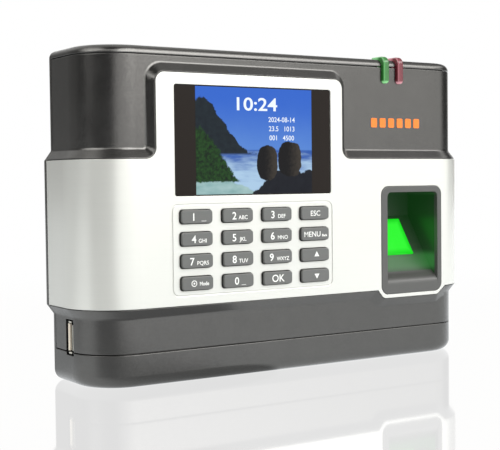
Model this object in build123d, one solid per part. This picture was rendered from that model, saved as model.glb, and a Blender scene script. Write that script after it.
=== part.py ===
from build123d import *
import math
import os

# Fingerprint scanner terminal: a wall or desk unit with a silver face that wraps round
# both sides, a colour display, a 4 x 4 keypad and a sloping finger well with a lit window.
#
# Drawing frame, millimetres: X to the right as seen from the front, Y into the unit, Z up.
# y = 0 is the silver face, z = 0 the flat bottom and x = 0 the centre line.  At export
# every piece is moved along Y, so that the origin lies under the middle of the unit.

# ---------------------------------------------------------------- driving dimensions
BODY_WIDTH = 194.0            # dark casing, side to side
BODY_HEIGHT = 135.0
BODY_DEPTH = 41.0             # silver face to the rear rim
BAND_PROUD = 3.0              # silver band stands this far outside the dark casing
CORNER_RADIUS = 19.5          # dark casing, front corners in plan
BOTTOM_ROUND = 4.8
TOP_ROUND = 3.2
WALL = 2.3
BACK_WALL = 2.5
FLOOR = 2.5
CAP = 2.7                     # thickness of the top cap

# Where the casing comes apart
TOP_SEAM = 131.5
BOTTOM_SEAM = 13.6
REAR_SEAM = 39.0
SEAM_GAP = 0.5
LIP_THICKNESS = 1.5
LIP_CLEARANCE = 0.15
LIP_REACH = 3.0

# Silver face, front view
BAND_LOW = 31.64
BAND_TOP = 90.28
TOWER_LEFT = -70.07
TOWER_RIGHT = 21.45
TOWER_TOP = 124.54
TOWER_CORNER = 4.0
SHOULDER_RADIUS = 4.5
FASCIA_THICKNESS = 2.0
SLOPE_SIDE = 3.0              # dark slope round the silver face: width beside the tower
SLOPE_TALL = 4.0              # and above and below it
SLOPE_FOOT = 1.4              # hollow radius where the slope meets the casing
BUMP_LEFT = 41.15
BUMP_RIGHT = 81.1
BUMP_LOW = 27.85
BUMP_SLANT_LEFT = 3.2
BUMP_SLANT_RIGHT = 5.1
BUMP_CORNER = 2.5
BUMP_SINK = 3.0               # the swelling is carried this far behind the dark face
FIT_GAP = 0.1
FASCIA_GAP = 0.3              # shadow gap between the silver face and the slope round it

# Display
WINDOW_WIDTH = 77.2
WINDOW_HEIGHT = 44.6
WINDOW_CENTRE = (-23.4, 97.68)
WINDOW_CORNER = 1.0
PANE_SETBACK = 0.4
PANEL_WIDTH = 64.0
PANEL_HEIGHT = 49.2
PANEL_THICKNESS = 1.6
BACKLIGHT_THICKNESS = 1.1
FRAME_WALL = 0.8
FRAME_FLANGE = 3.0
PANEL_HOLE = (PANEL_WIDTH + 3.8, PANEL_HEIGHT + 2.1)

# Keypad
KEY_COLUMNS = (-52.86, -33.39, -13.92, 5.55)
KEY_ROWS = (67.13, 58.22, 49.31, 40.40)
KEY_NAMES = (
    ("key_1", "key_2", "key_3", "key_esc"),
    ("key_4", "key_5", "key_6", "key_menu"),
    ("key_7", "key_8", "key_9", "key_up"),
    ("key_mode", "key_0", "key_ok", "key_down"),
)
KEY_WIDTH = 14.4
KEY_HEIGHT = 5.4
KEY_CORNER = 1.0
KEY_PROUD = 1.6
KEY_EDGE = 0.45
KEY_GAP = 0.25
KEY_FLANGE = 1.0              # flange reaches this far past the cap all round
KEY_TRAVEL = 0.8
PAD_CENTRE = (-24.0, 53.75)
PAD_BORDER = (79.4, 37.0)
PAD_BORDER_LINE = 0.5
PAD_BORDER_CORNER = 3.0
PAD_BORDER_DEPTH = 0.25
MAT_SHEET = 1.2
DOME_HEIGHT = 0.5
PAD_BOARD = (91.0, 38.5)

# Finger sensor
BEZEL_WIDTH = 35.6
BEZEL_HEIGHT = 48.5
BEZEL_CENTRE = (60.9, 53.73)
BEZEL_CORNER = 4.0
BEZEL_PROUD = 0.3
BEZEL_DEPTH = 1.8
WELL_LEFT = 46.4
WELL_RIGHT = 76.1
WELL_TOP = 75.3
WELL_CORNER = 2.0             # upper corners of the opening
WELL_BACK = 20.5
WELL_WALL = 1.2
WELL_FLOOR = 2.0
SLOPE_START = (4.0, 39.0)     # depth and height where the ramp meets the sloping floor
SLOPE_ANGLE = 33.5            # sloping floor, degrees from upright
RAMP_LOW = 31.5               # the ramp starts here, flush with the bezel
RAMP_FLAT_TOP = 33.6
RAMP_STEP = 1.4               # its lower lip reaches this far below the flat top
RAMP_THICKNESS = 1.5
GLASS_WIDTH = 16.4
GLASS_LENGTH = 19.2
GLASS_CENTRE_X = 61.3
GLASS_CENTRE_Z = 54.4
GLASS_PROUD = 0.4
MODULE = (27.0, 20.0, 12.0)
SENSOR_BOARD = (28.0, 26.0, 1.6)
EAR_HEIGHTS = (47.0, 70.0)    # screw ears of the well
EAR_LENGTH = 47.4

# Light pipes
PIPE_WIDTH = 3.4
PIPE_GREEN_X = 47.8
PIPE_RED_X = 56.05
PIPE_LOW = 124.2
PIPE_PROUD_FRONT = 1.8
PIPE_PROUD_TOP = 1.3
PIPE_BACK = 10.0
PIPE_ROUND = 3.2
PIPE_EDGE = 1.0               # radius of the outer edges
PIPE_GAP = 0.15
PIPE_FLANGE = 0.9             # the flange behind the cover is this much wider each way
PIPE_FLANGE_THICKNESS = 1.2
PIPE_FLANGE_HEIGHTS = (122.7, 128.0)
LAMP_BASE = (3.2, 1.2, 3.6)   # width, depth, height of a lamp's foot
LAMP_LENS = (2.4, 1.4)        # diameter and length of its lens
LAMP_HEIGHT = 126.4
LED_BOARD = (20.0, 15.6)
LED_BOARD_THICKNESS = 1.2

# USB socket in the left side
USB_OPENING = (7.3, 14.45)    # along Y, along Z
USB_CENTRE = (25.25, 19.4)    # depth, height
USB_SHELL = (5.7, 13.1)
USB_SHELL_WALL = 0.3
USB_SHELL_CORNER = 0.5
USB_LENGTH = 14.0
USB_SETBACK = 0.4
USB_BACK = 0.5                # closed end of the shell
USB_TONGUE = (1.8, 11.2)      # along Y, along Z
USB_TONGUE_OFFSET = 0.9
USB_TONGUE_SETBACK = 0.8
USB_TONGUE_ROOT = 3.5
USB_CONTACTS = (-3.5, -1.0, 1.0, 3.5)
USB_CONTACT = (0.25, 1.0)     # thickness, width

# Boards
BOARD_THICKNESS = 1.6
BOARD_LEFT = -78.0
BOARD_RIGHT = 38.0
BOARD_LOW = 8.0
BOARD_TOP = 118.0
BOARD_TAB_LEFT = -90.0
BOARD_TAB_TOP = 31.0
CELL_CENTRE = (-20.0, 25.0)

# Rear connectors and wall bracket
CONNECTOR_HEIGHT = 40.0
CONNECTOR_END = 40.4
JACK_X = 16.0
POWER_X = -3.0
TERMINAL_X = -29.5
JACK_SIZE = (16.0, 13.8)
JACK_MOUTH_DEPTH = 12.0
POWER_SIZE = (9.0, 11.0)
POWER_BORE = (6.4, 9.0)       # diameter, depth
POWER_PIN = 2.1
TERMINAL_SIZE = (29.0, 9.5)
TERMINAL_PITCH = 3.5
TERMINAL_COUNT = 8
BRACKET_PLATE = 1.5
BRACKET_REACH = 42.0          # rear face of the bracket, against the wall
BRACKET_WIDTH = 120.0
BRACKET_LOW = 6.0
BRACKET_TOP = 112.0
BRACKET_SPACING = (100.0, 60.0)
BRACKET_CENTRE_Z = 65.0
BRACKET_HOLE = 4.5
CABLE_WINDOW = (80.0, 26.0)
HOOK_X = (-40.0, 40.0)
HOOK_Z = 101.0                # top of the hooks' arms
HOOK_UPRIGHT = 36.7           # depth of the hooks' uprights, inside the rear wall
LOCK_LIP_Z = 6.0
LOCK_Y = 34.5
LOCK_SEAT = 2.2
LOCK_BOSS = 9.0
RECESS_DEPTH = 0.5

# Screws: head diameter, head height, shank diameter, shank length
CASE_SCREW = (5.6, 2.2, 3.0, 12.0)
BOARD_SCREW = (5.6, 2.0, 3.0, 6.0)
SMALL_SCREW = (4.4, 1.5, 2.5, 3.0)
LOCK_SCREW = (5.6, 2.0, 3.0, 6.6)
CASE_BOSS_X = 86.0
CASE_BOSS_Z = (40.0, 116.0)
CASE_JOINT = 30.0             # where the front posts meet the rear posts
CASE_SCREW_SEAT = 36.0
FRONT_POST = 7.0              # diameters of the posts
REAR_POST = 8.0
SMALL_POST = 5.0
BOARD_POST = 6.0

# Speaker
SPEAKER_CENTRE = (68.0, 100.0)
SPEAKER_DIAMETER = 30.0
SPEAKER_DEPTH = 6.5
GRILLE_HOLE = 2.2
GRILLE_RINGS = ((6, 4.4), (12, 8.8))  # holes and radius of each ring

# ---------------------------------------------------------------- worked-out depths
DARK_FACE = BAND_PROUD
COVER_BACK = DARK_FACE + WALL
BACK_INNER = BODY_DEPTH - BACK_WALL
CAP_UNDER = BODY_HEIGHT - CAP
COVER_REAR = REAR_SEAM - SEAM_GAP / 2
FLANGE_FRONT = COVER_BACK + 0.3
FLANGE_BACK = FLANGE_FRONT + 1.0
DOME_TOP = FLANGE_BACK + KEY_TRAVEL + 0.1
MAT_FRONT = DOME_TOP + DOME_HEIGHT
PAD_BOARD_FRONT = MAT_FRONT + MAT_SHEET
PAD_BOARD_BACK = PAD_BOARD_FRONT + BOARD_THICKNESS
PANEL_FRONT = FASCIA_THICKNESS + 0.15
PANEL_BACK = PANEL_FRONT + PANEL_THICKNESS
BACKLIGHT_BACK = PANEL_BACK + BACKLIGHT_THICKNESS
FRAME_BACK = BACKLIGHT_BACK + 1.6
EAR_FRONT = COVER_BACK + 3.0
EAR_BACK = EAR_FRONT + 1.5
BOARD_FRONT = USB_CENTRE[0] + USB_SHELL[0] / 2
BOARD_BACK = BOARD_FRONT + BOARD_THICKNESS
LED_BOARD_FRONT = 12.0
LED_BOARD_BACK = LED_BOARD_FRONT + LED_BOARD_THICKNESS
PIPE_UNDER = CAP_UNDER + 0.4  # underside of the pipe's upper leg
PIPE_TAIL = COVER_BACK + 3.0  # rear of its tail, just in front of the lamp
MID_DEPTH = (BRACKET_REACH - KEY_PROUD) / 2
FAR = 300.0

SENSOR_CABLE_DROP = (WELL_FLOOR + 0.05 + MODULE[2] + SENSOR_BOARD[2] + 2) * math.sin(math.radians(SLOPE_ANGLE))
BASE_DOWN = (Align.CENTER, Align.CENTER, Align.MIN)

# Screw posts, as (x, z)
EAR_POSTS = [(x, z) for x in (40.2, 81.6) for z in EAR_HEIGHTS]
PAD_POSTS = [(x, z) for x in (-65.0, 17.5) for z in (41.5, 66.0)]
LED_POSTS = [(x, 117.0) for x in (44.6, 58.9)]
CASE_POSTS = [(side * CASE_BOSS_X, z) for side in (-1, 1) for z in CASE_BOSS_Z]
BOARD_POSTS = [(x, z) for x in (-70.0, 32.0) for z in (18.0, 110.0)]


# ---------------------------------------------------------------- drawing helpers
def block(x0, x1, y0, y1, z0, z1):
    """Box between two opposite corners."""
    size = Box(x1 - x0, y1 - y0, z1 - z0)
    return Pos((x0 + x1) / 2, (y0 + y1) / 2, (z0 + z1) / 2) * size


def face_plane(y):
    """Plane for front-view sketches: X right, Z up, at depth y."""
    return Plane(origin=(0, y, 0), x_dir=(1, 0, 0), z_dir=(0, -1, 0))


def side_plane(x):
    """Plane for side-view sketches: Y to the right, Z up, at x."""
    return Plane(origin=(x, 0, 0), x_dir=(0, 1, 0), z_dir=(1, 0, 0))


def from_face(sketch, y0, y1):
    """Extrude a front-view sketch from depth y0 to depth y1."""
    return extrude(face_plane(y0) * sketch, -(y1 - y0))


def from_side(sketch, x0, x1):
    """Extrude a side-view sketch from x0 to x1."""
    return extrude(side_plane(x0) * sketch, x1 - x0)


def polygon(points):
    """Flat face through a list of points."""
    return make_face(Polyline(*points, close=True))


def peg(x, z, diameter, y0, y1):
    """Round peg along Y."""
    return from_face(Pos(x, z) * Circle(diameter / 2), y0, y1)


def rounded(centre, width, height, radius):
    """Rounded rectangle in a front view."""
    return Pos(*centre) * RectangleRounded(width, height, radius)


def cross_recess(size, depth):
    """Cross-shaped driver recess, cut downwards from z = 0."""
    bar = Box(size, size / 4, depth, align=(Align.CENTER, Align.CENTER, Align.MAX))
    return bar + Rot(0, 0, 90) * bar


def screw(spec):
    """Pan-head screw standing on its tip: the head's seat is at z = 0, the shank below."""
    head_d, head_h, shank_d, length = spec
    head = Cylinder(head_d / 2, head_h, align=(Align.CENTER, Align.CENTER, Align.MIN))
    head = fillet(head.edges().group_by(Axis.Z)[-1], head_h * 0.35)
    shank = Cylinder(shank_d / 2, length, align=(Align.CENTER, Align.CENTER, Align.MAX))
    shank = chamfer(shank.edges().group_by(Axis.Z)[0], shank_d * 0.2)
    return head + shank - Pos(0, 0, head_h) * cross_recess(head_d * 0.6, head_h * 0.6)


def screws_from_front(spec, places, seat):
    """Screws whose heads face the front and whose shanks run into the unit."""
    return [Pos(x, seat, z) * Rot(90, 0, 0) * screw(spec) for x, z in places]


def screws_from_back(spec, places, seat):
    """Screws whose heads face the rear and whose shanks run to the front."""
    return [Pos(x, seat, z) * Rot(-90, 0, 0) * screw(spec) for x, z in places]


def group(solids):
    """Several separate solids kept as one node."""
    return Compound(children=[item for solid in solids for item in solid.solids()])


# ---------------------------------------------------------------- outer shape
def plan_outline(proud, back=BODY_DEPTH):
    """Casing seen from above, `proud` outside the dark skin, running back to `back`."""
    half = BODY_WIDTH / 2 + proud
    front = DARK_FACE - proud
    outline = Pos(0, (front + back) / 2) * Rectangle(2 * half, back - front)
    return fillet(outline.vertices().group_by(Axis.Y)[0], CORNER_RADIUS + proud)


def ring(outer, inner, z0, z1, back):
    """U-shaped wall that follows the casing between two offsets from the dark skin."""
    solid = extrude(Pos(0, 0, z0) * plan_outline(outer, back), z1 - z0)
    return solid - extrude(Pos(0, 0, z0) * plan_outline(inner, FAR), z1 - z0)


def round_corners(face, radius, places):
    """Round those corners of a flat face that lie at the given places."""
    corners = [v for v in face.vertices() if any(math.dist((v.X, v.Y), p) < 0.01 for p in places)]
    return fillet(corners, radius)


def tower_section(side, tall):
    """Front view of the tower and its feet, `side` wider each way and `tall` higher."""
    left, right = TOWER_LEFT - side, TOWER_RIGHT + side
    shoulder, top, base = BAND_TOP + tall, TOWER_TOP + tall, BAND_TOP - 8
    foot_left, foot_right = TOWER_LEFT - SHOULDER_RADIUS - 1, TOWER_RIGHT + SHOULDER_RADIUS + 1
    feet = [(left, shoulder), (right, shoulder)]
    shoulders = [(left, top), (right, top)]
    face = polygon([
        (foot_left, base),
        (foot_left, shoulder),
        feet[0],
        *shoulders,
        feet[1],
        (foot_right, shoulder),
        (foot_right, base),
    ])
    face = round_corners(face, SHOULDER_RADIUS - side, feet)
    return round_corners(face, TOWER_CORNER + side, shoulders)


def bump_points(spread):
    """Lower outline of the swelling under the finger well, left to right."""
    low, seat = BUMP_LOW - spread, BAND_LOW - spread
    return [
        (BUMP_LEFT - spread / 2, seat),
        (BUMP_LEFT + BUMP_SLANT_LEFT - spread / 2, low),
        (BUMP_RIGHT - BUMP_SLANT_RIGHT + spread / 2, low),
        (BUMP_RIGHT + spread / 2, seat),
    ]


def bump_section(spread):
    """Front view of the swelling, closed above inside the band."""
    points = bump_points(spread)
    roof = BAND_LOW + 12
    face = polygon([*points, (points[3][0], roof), (points[0][0], roof)])
    return round_corners(face, BUMP_CORNER, points[1:3])


def silver_outline():
    """Front view of the silver fascia; its ends run on past the sides of the casing."""
    shoulders = [(TOWER_RIGHT, TOWER_TOP), (TOWER_LEFT, TOWER_TOP)]
    feet = [(TOWER_RIGHT, BAND_TOP), (TOWER_LEFT, BAND_TOP)]
    swelling = bump_points(0)
    face = polygon([
        (-FAR, BAND_LOW),
        *swelling,
        (FAR, BAND_LOW),
        (FAR, BAND_TOP),
        feet[0],
        *shoulders,
        feet[1],
        (-FAR, BAND_TOP),
    ])
    face = round_corners(face, SHOULDER_RADIUS, feet)
    face = round_corners(face, TOWER_CORNER, shoulders)
    return round_corners(face, BUMP_CORNER, swelling[1:3])


def skin_offset(point):
    """How far a point lies outside the dark skin, in plan."""
    centre_x, centre_y = BODY_WIDTH / 2 - CORNER_RADIUS, DARK_FACE + CORNER_RADIUS
    across = abs(point.X) - centre_x
    ahead = centre_y - point.Y
    if across > 0 and ahead > 0:
        return math.hypot(across, ahead) - CORNER_RADIUS
    return max(across, ahead) - CORNER_RADIUS


def is_slope_foot(edge):
    """True for the edges where the slope round the silver face meets the dark skin."""
    samples = [edge @ (step / 4) for step in range(5)]
    on_skin = all(abs(skin_offset(point)) < 0.05 for point in samples)
    in_band = all(BUMP_LOW - 2 * SLOPE_TALL < point.Z < TOP_SEAM for point in samples)
    tangent_lines = (BODY_WIDTH / 2 - CORNER_RADIUS, BODY_WIDTH / 2)
    is_seam = samples[0].Z != samples[4].Z and any(
        all(abs(abs(point.X) - line) < 0.01 for point in samples) for line in tangent_lines
    )
    return on_skin and in_band and not is_seam


def casing_shape():
    """Outer shape of the closed casing, with the raised band, tower and swelling."""
    body = extrude(plan_outline(0), BODY_HEIGHT)
    lower = [e for e in body.edges().group_by(Axis.Z)[0] if e.center().Y < BODY_DEPTH - 0.01]
    body = fillet(lower, BOTTOM_ROUND)
    upper = [e for e in body.edges().group_by(Axis.Z)[-1] if e.center().Y < BODY_DEPTH - 0.01]
    body = fillet(upper, TOP_ROUND)
    band = extrude(Pos(0, 0, BAND_LOW) * plan_outline(BAND_PROUD), BAND_TOP - BAND_LOW)
    for silver_edge, dark_edge in ((BAND_TOP, BAND_TOP + SLOPE_TALL), (BAND_LOW, BAND_LOW - SLOPE_TALL)):
        wide = Pos(0, 0, silver_edge) * plan_outline(BAND_PROUD)
        narrow = Pos(0, 0, dark_edge) * plan_outline(0)
        band += loft([wide, narrow], ruled=True)
    tower = loft([
        face_plane(DARK_FACE) * tower_section(SLOPE_SIDE, SLOPE_TALL),
        face_plane(0) * tower_section(0, 0),
    ], ruled=True)
    bump = loft([
        face_plane(DARK_FACE + BUMP_SINK) * bump_section(SLOPE_TALL * (1 + BUMP_SINK / BAND_PROUD)),
        face_plane(0) * bump_section(0),
    ], ruled=True)
    bump &= extrude(plan_outline(BAND_PROUD), BODY_HEIGHT)
    shape = body + band + tower + bump
    return fillet([e for e in shape.edges() if is_slope_foot(e)], SLOPE_FOOT)


# ---------------------------------------------------------------- casing shells
def inner_space(back):
    """Hollow of the casing, running back to depth `back`."""
    plan = plan_outline(-WALL, back)
    return extrude(Pos(0, 0, FLOOR) * plan, CAP_UNDER - FLOOR)


def cover_zone(grow):
    """Region that the front cover takes up, `grow` larger at the seams."""
    low = BOTTOM_SEAM + SEAM_GAP / 2 - grow
    high = TOP_SEAM - SEAM_GAP / 2 + grow
    return block(-FAR, FAR, -FAR, COVER_REAR + grow, low, high)


def fascia_seat(grow):
    """Space of the silver fascia: the front-view outline cut out of the proud skin."""
    skin = ring(BAND_PROUD, BAND_PROUD - FASCIA_THICKNESS, 0, BODY_HEIGHT, COVER_REAR)
    outline = offset(silver_outline(), grow) if grow else silver_outline()
    return from_face(outline, -1, COVER_REAR) & skin


def key_places():
    """Name and centre of every key, row by row from the top left."""
    for row, z in zip(KEY_NAMES, KEY_ROWS):
        for name, x in zip(row, KEY_COLUMNS):
            yield name, x, z


def key_holes(y0, y1):
    """Holes that the key caps pass through."""
    width, height = KEY_WIDTH + 2 * KEY_GAP, KEY_HEIGHT + 2 * KEY_GAP
    cell = RectangleRounded(width, height, KEY_CORNER + KEY_GAP)
    sketch = Sketch() + [Pos(x, z) * cell for _, x, z in key_places()]
    return from_face(sketch, y0, y1)


def usb_slot():
    """Slot through the left side for the USB socket; it crosses the bottom seam."""
    depth, height = USB_OPENING
    side = BODY_WIDTH / 2
    slot = Pos(USB_CENTRE[0], USB_CENTRE[1]) * RectangleRounded(depth, height, 0.6)
    return from_side(slot, -side - 1, -side + WALL + LIP_CLEARANCE + LIP_THICKNESS + 1)


def pipe_outline(x, grow):
    """Front view of a light pipe with its round lower end; it runs on past the top."""
    half = PIPE_WIDTH / 2 + grow
    seat, high = PIPE_LOW + PIPE_WIDTH / 2, BODY_HEIGHT + 4 * PIPE_WIDTH
    return Pos(x, seat) * Circle(half) + Pos(x, (seat + high) / 2) * Rectangle(2 * half, high - seat)


def pipe_slots(grow):
    """Slots over the top front edge for the two light pipes."""
    outlines = [pipe_outline(x, grow) for x in (PIPE_GREEN_X, PIPE_RED_X)]
    return from_face(outlines[0] + outlines[1], 0, PIPE_BACK + grow)


def post(x, z, diameter, y1):
    """Screw post on the inside of the front cover, up to depth y1."""
    inside = extrude(plan_outline(-WALL / 2), BODY_HEIGHT)
    return peg(x, z, diameter, 0, y1) & inside


def front_cover():
    """Dark front half of the casing: front wall, both sides, slopes and screw posts."""
    shell = (CASING & cover_zone(0)) - inner_space(BODY_DEPTH) - fascia_seat(FASCIA_GAP)
    for x, z in CASE_POSTS:
        shell += post(x, z, FRONT_POST, CASE_JOINT)
        shell -= peg(x, z, CASE_SCREW[2] + FIT_GAP, 12, CASE_JOINT)
    small_posts = [(PAD_POSTS, PAD_BOARD_FRONT), (EAR_POSTS, EAR_FRONT), (LED_POSTS, LED_BOARD_FRONT)]
    for places, reach in small_posts:
        for x, z in places:
            shell += post(x, z, SMALL_POST, reach)
            shell -= peg(x, z, SMALL_SCREW[2] + FIT_GAP, reach - 3.0, reach)
    panel_hole = rounded(WINDOW_CENTRE, PANEL_HOLE[0], PANEL_HOLE[1], 0.8)
    bezel_hole = rounded(BEZEL_CENTRE, BEZEL_WIDTH + 2 * FIT_GAP, BEZEL_HEIGHT + 2 * FIT_GAP, BEZEL_CORNER)
    shell -= from_face(panel_hole, 0, COVER_BACK + 1)
    shell -= from_face(bezel_hole, 0, COVER_BACK + 1)
    shell -= key_holes(0, COVER_BACK + 1)
    return shell - usb_slot() - pipe_slots(PIPE_GAP)


def rear_housing():
    """Dark rear half: back wall, top cap, bottom tray, locating lip and posts."""
    inner, outer = -WALL - LIP_CLEARANCE - LIP_THICKNESS, -WALL - LIP_CLEARANCE
    side = BODY_WIDTH / 2
    shell = (CASING - cover_zone(SEAM_GAP)) - inner_space(BACK_INNER)
    shell += block(-side - outer, side + outer, BACK_INNER, BODY_DEPTH - 1, FLOOR, CAP_UNDER)
    seam_low, seam_high = BOTTOM_SEAM - SEAM_GAP / 2, TOP_SEAM + SEAM_GAP / 2
    shell += ring(outer, inner, seam_high - LIP_REACH, CAP_UNDER, BACK_INNER)
    shell += ring(outer, inner, seam_low - 0.5, seam_low + LIP_REACH, BACK_INNER)
    shell += ring(-WALL / 2, inner, seam_low - 3.0, seam_low - 0.5, BACK_INNER)
    for sign in (-1, 1):
        reach = sorted((sign * (side + inner), sign * (side + outer)))
        shell += block(*reach, REAR_SEAM - LIP_REACH, BACK_INNER, seam_low, seam_high)
    for x, z in CASE_POSTS:
        shell += peg(x, z, REAR_POST, CASE_JOINT + FIT_GAP, BACK_INNER)
        shell -= peg(x, z, CASE_SCREW[2] + 0.4, CASE_JOINT, BODY_DEPTH)
        shell -= peg(x, z, CASE_SCREW[0] + 0.8, CASE_SCREW_SEAT, BODY_DEPTH + 1)
    for x, z in BOARD_POSTS:
        shell += peg(x, z, BOARD_POST, BOARD_BACK, BACK_INNER)
        shell -= peg(x, z, BOARD_SCREW[2] + FIT_GAP, BOARD_BACK, BOARD_BACK + 6)
    shell += Pos(0, LOCK_Y, FLOOR) * Cylinder(LOCK_BOSS / 2, 3.0, align=BASE_DOWN)
    shell -= rear_cuts()
    return shell - usb_slot() - pipe_slots(PIPE_GAP)


def rear_cuts():
    """Recess, hook slots, connector windows, grille and lock-screw hole of the rear wall."""
    plate = rounded((0, (BRACKET_LOW + BRACKET_TOP) / 2), BRACKET_WIDTH + 1, BRACKET_TOP - BRACKET_LOW + 1, 4)
    cuts = from_face(plate, BODY_DEPTH - RECESS_DEPTH, BODY_DEPTH + 1)
    for x in HOOK_X:
        cuts += block(x - 7, x + 7, 36, BODY_DEPTH, HOOK_Z - 6, HOOK_Z + 0.3)
    cuts += block(-9, 9, 36, BODY_DEPTH, LOCK_LIP_Z - 0.4, LOCK_LIP_Z + BRACKET_PLATE + 0.4)
    for x, size in ((JACK_X, JACK_SIZE), (POWER_X, POWER_SIZE), (TERMINAL_X, TERMINAL_SIZE)):
        window = rounded((x, CONNECTOR_HEIGHT), size[0] + 1, size[1] + 1, 0.8)
        cuts += from_face(window, BACK_INNER - 1, BODY_DEPTH)
    cuts += from_face(grille(), BACK_INNER - 1, BODY_DEPTH + 1)
    cuts += Pos(0, LOCK_Y, -1) * Cylinder(LOCK_SCREW[2] / 2 + 0.2, 8, align=BASE_DOWN)
    return cuts + Pos(0, LOCK_Y, -1) * Cylinder(LOCK_SCREW[0] / 2 + 0.4, 1 + LOCK_SEAT, align=BASE_DOWN)


def grille():
    """Sound holes: one in the middle and two rings round it."""
    hole = Circle(GRILLE_HOLE / 2)
    holes = [Pos(*SPEAKER_CENTRE) * hole]
    for count, radius in GRILLE_RINGS:
        for step in range(count):
            angle = 2 * math.pi * step / count
            x = SPEAKER_CENTRE[0] + radius * math.cos(angle)
            z = SPEAKER_CENTRE[1] + radius * math.sin(angle)
            holes.append(Pos(x, z) * hole)
    return Sketch() + holes


def silver_fascia():
    """Silver skin: window, key holes, bezel opening and a fine line round the keypad."""
    skin = fascia_seat(0)
    window = rounded(WINDOW_CENTRE, WINDOW_WIDTH, WINDOW_HEIGHT, WINDOW_CORNER)
    bezel = rounded(BEZEL_CENTRE, BEZEL_WIDTH + 2 * FIT_GAP, BEZEL_HEIGHT + 2 * FIT_GAP, BEZEL_CORNER)
    border = rounded(PAD_CENTRE, *PAD_BORDER, PAD_BORDER_CORNER)
    skin -= from_face(window, -1, FASCIA_THICKNESS + 1)
    skin -= from_face(bezel, -1, FASCIA_THICKNESS + 3)
    skin -= key_holes(-1, FASCIA_THICKNESS + 1)
    line = border - offset(border, -PAD_BORDER_LINE)
    return skin - from_face(line, -1, PAD_BORDER_DEPTH)


# ---------------------------------------------------------------- display
def display_pieces():
    """Window pane, display panel, backlight, carrying frame and flat cable."""
    x, z = WINDOW_CENTRE
    pane = rounded(WINDOW_CENTRE, WINDOW_WIDTH - 2 * FIT_GAP, WINDOW_HEIGHT - 2 * FIT_GAP, WINDOW_CORNER)
    panel = rounded(WINDOW_CENTRE, PANEL_WIDTH, PANEL_HEIGHT, 0.5)
    hole = rounded(WINDOW_CENTRE, PANEL_WIDTH + 2 * FIT_GAP, PANEL_HEIGHT + 2 * FIT_GAP, 0.5)
    rim = rounded(WINDOW_CENTRE, PANEL_HOLE[0] - 2 * FIT_GAP, PANEL_HOLE[1] - 2 * FIT_GAP, 0.8)
    flange = rounded(WINDOW_CENTRE, PANEL_HOLE[0] + 2 * FRAME_FLANGE, PANEL_HOLE[1] + FRAME_WALL * 2, 1)
    frame = from_face(rim, PANEL_FRONT, FRAME_BACK) + from_face(flange, COVER_BACK, FRAME_BACK)
    frame -= from_face(hole, 0, BACKLIGHT_BACK)
    frame -= from_face(Pos(x, z + 14) * Rectangle(30, 8), 0, FRAME_BACK + 1)
    route = FilletPolyline(
        (FRAME_BACK + 0.25, z + 10),
        (FRAME_BACK + 0.25, z - 8),
        (BOARD_FRONT - 2.2, z - 12),
        radius=3.0,
    )
    flex = from_side(trace(route, 0.3), x - 8, x + 8)
    return {
        "display_window": from_face(pane, PANE_SETBACK, FASCIA_THICKNESS),
        "lcd_panel": from_face(panel, PANEL_FRONT, PANEL_BACK),
        "lcd_backlight": from_face(panel, PANEL_BACK, BACKLIGHT_BACK),
        "lcd_frame": frame,
        "lcd_flex": flex,
    }


# ---------------------------------------------------------------- keypad
def key(x, z):
    """One key: a bevelled cap on a stem, with a flange that stays behind the cover."""
    cap = from_face(rounded((x, z), KEY_WIDTH, KEY_HEIGHT, KEY_CORNER), -KEY_PROUD, FLANGE_FRONT)
    cap = chamfer(cap.edges().group_by(Axis.Y)[0], KEY_EDGE)
    flange = rounded((x, z), KEY_WIDTH + 2 * KEY_FLANGE, KEY_HEIGHT + 2 * KEY_FLANGE, KEY_CORNER)
    return cap + from_face(flange, FLANGE_FRONT, FLANGE_BACK)


def keypad_pieces():
    """Rubber mat, keypad board, its ribbon and the sixteen keys."""
    plate = rounded(PAD_CENTRE, *PAD_BOARD, 2)
    mat = from_face(plate, MAT_FRONT, PAD_BOARD_FRONT)
    for _, x, z in key_places():
        dome = extrude(face_plane(MAT_FRONT) * rounded((x, z), 9, 4.2, 1.5), DOME_HEIGHT, taper=30)
        mat += dome
    board = from_face(plate, PAD_BOARD_FRONT, PAD_BOARD_BACK)
    for x, z in PAD_POSTS:
        mat -= peg(x, z, 5.4, 0, PAD_BOARD_BACK)
        board -= peg(x, z, SMALL_SCREW[2] + 0.3, 0, PAD_BOARD_BACK + 1)
    route = FilletPolyline(
        (PAD_BOARD_BACK + 2.0, PAD_CENTRE[1]),
        (18.0, PAD_CENTRE[1]),
        (20.0, PAD_CENTRE[1] + 6),
        (BOARD_FRONT - 2.2, PAD_CENTRE[1] + 6),
        radius=2.0,
    )
    pieces = {
        "key_mat": mat,
        "keypad_board": board,
        "keypad_ribbon": from_side(trace(route, 0.3), -50, -38),
    }
    for name, x, z in key_places():
        pieces[name] = key(x, z)
    return pieces


# ---------------------------------------------------------------- finger sensor
def slope_depth(z):
    """Depth of the sloping floor at height z."""
    start_y, start_z = SLOPE_START
    return start_y + (z - start_z) * math.tan(math.radians(SLOPE_ANGLE))


def slope_point(z, behind=0.0):
    """Point of the side profile on the sloping floor, or `behind` it."""
    angle = math.radians(SLOPE_ANGLE)
    return (slope_depth(z) + behind * math.cos(angle), z - behind * math.sin(angle))


def slope_height(y):
    """Height at which the sloping floor reaches depth y."""
    return SLOPE_START[1] + (y - SLOPE_START[0]) / math.tan(math.radians(SLOPE_ANGLE))


def glass_plane():
    """Plane on the sloping floor at the middle of the sensor glass, facing the finger."""
    angle = math.radians(SLOPE_ANGLE)
    origin = (GLASS_CENTRE_X, slope_depth(GLASS_CENTRE_Z), GLASS_CENTRE_Z)
    return Plane(origin=origin, x_dir=(1, 0, 0), z_dir=(0, -math.cos(angle), math.sin(angle)))


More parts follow.
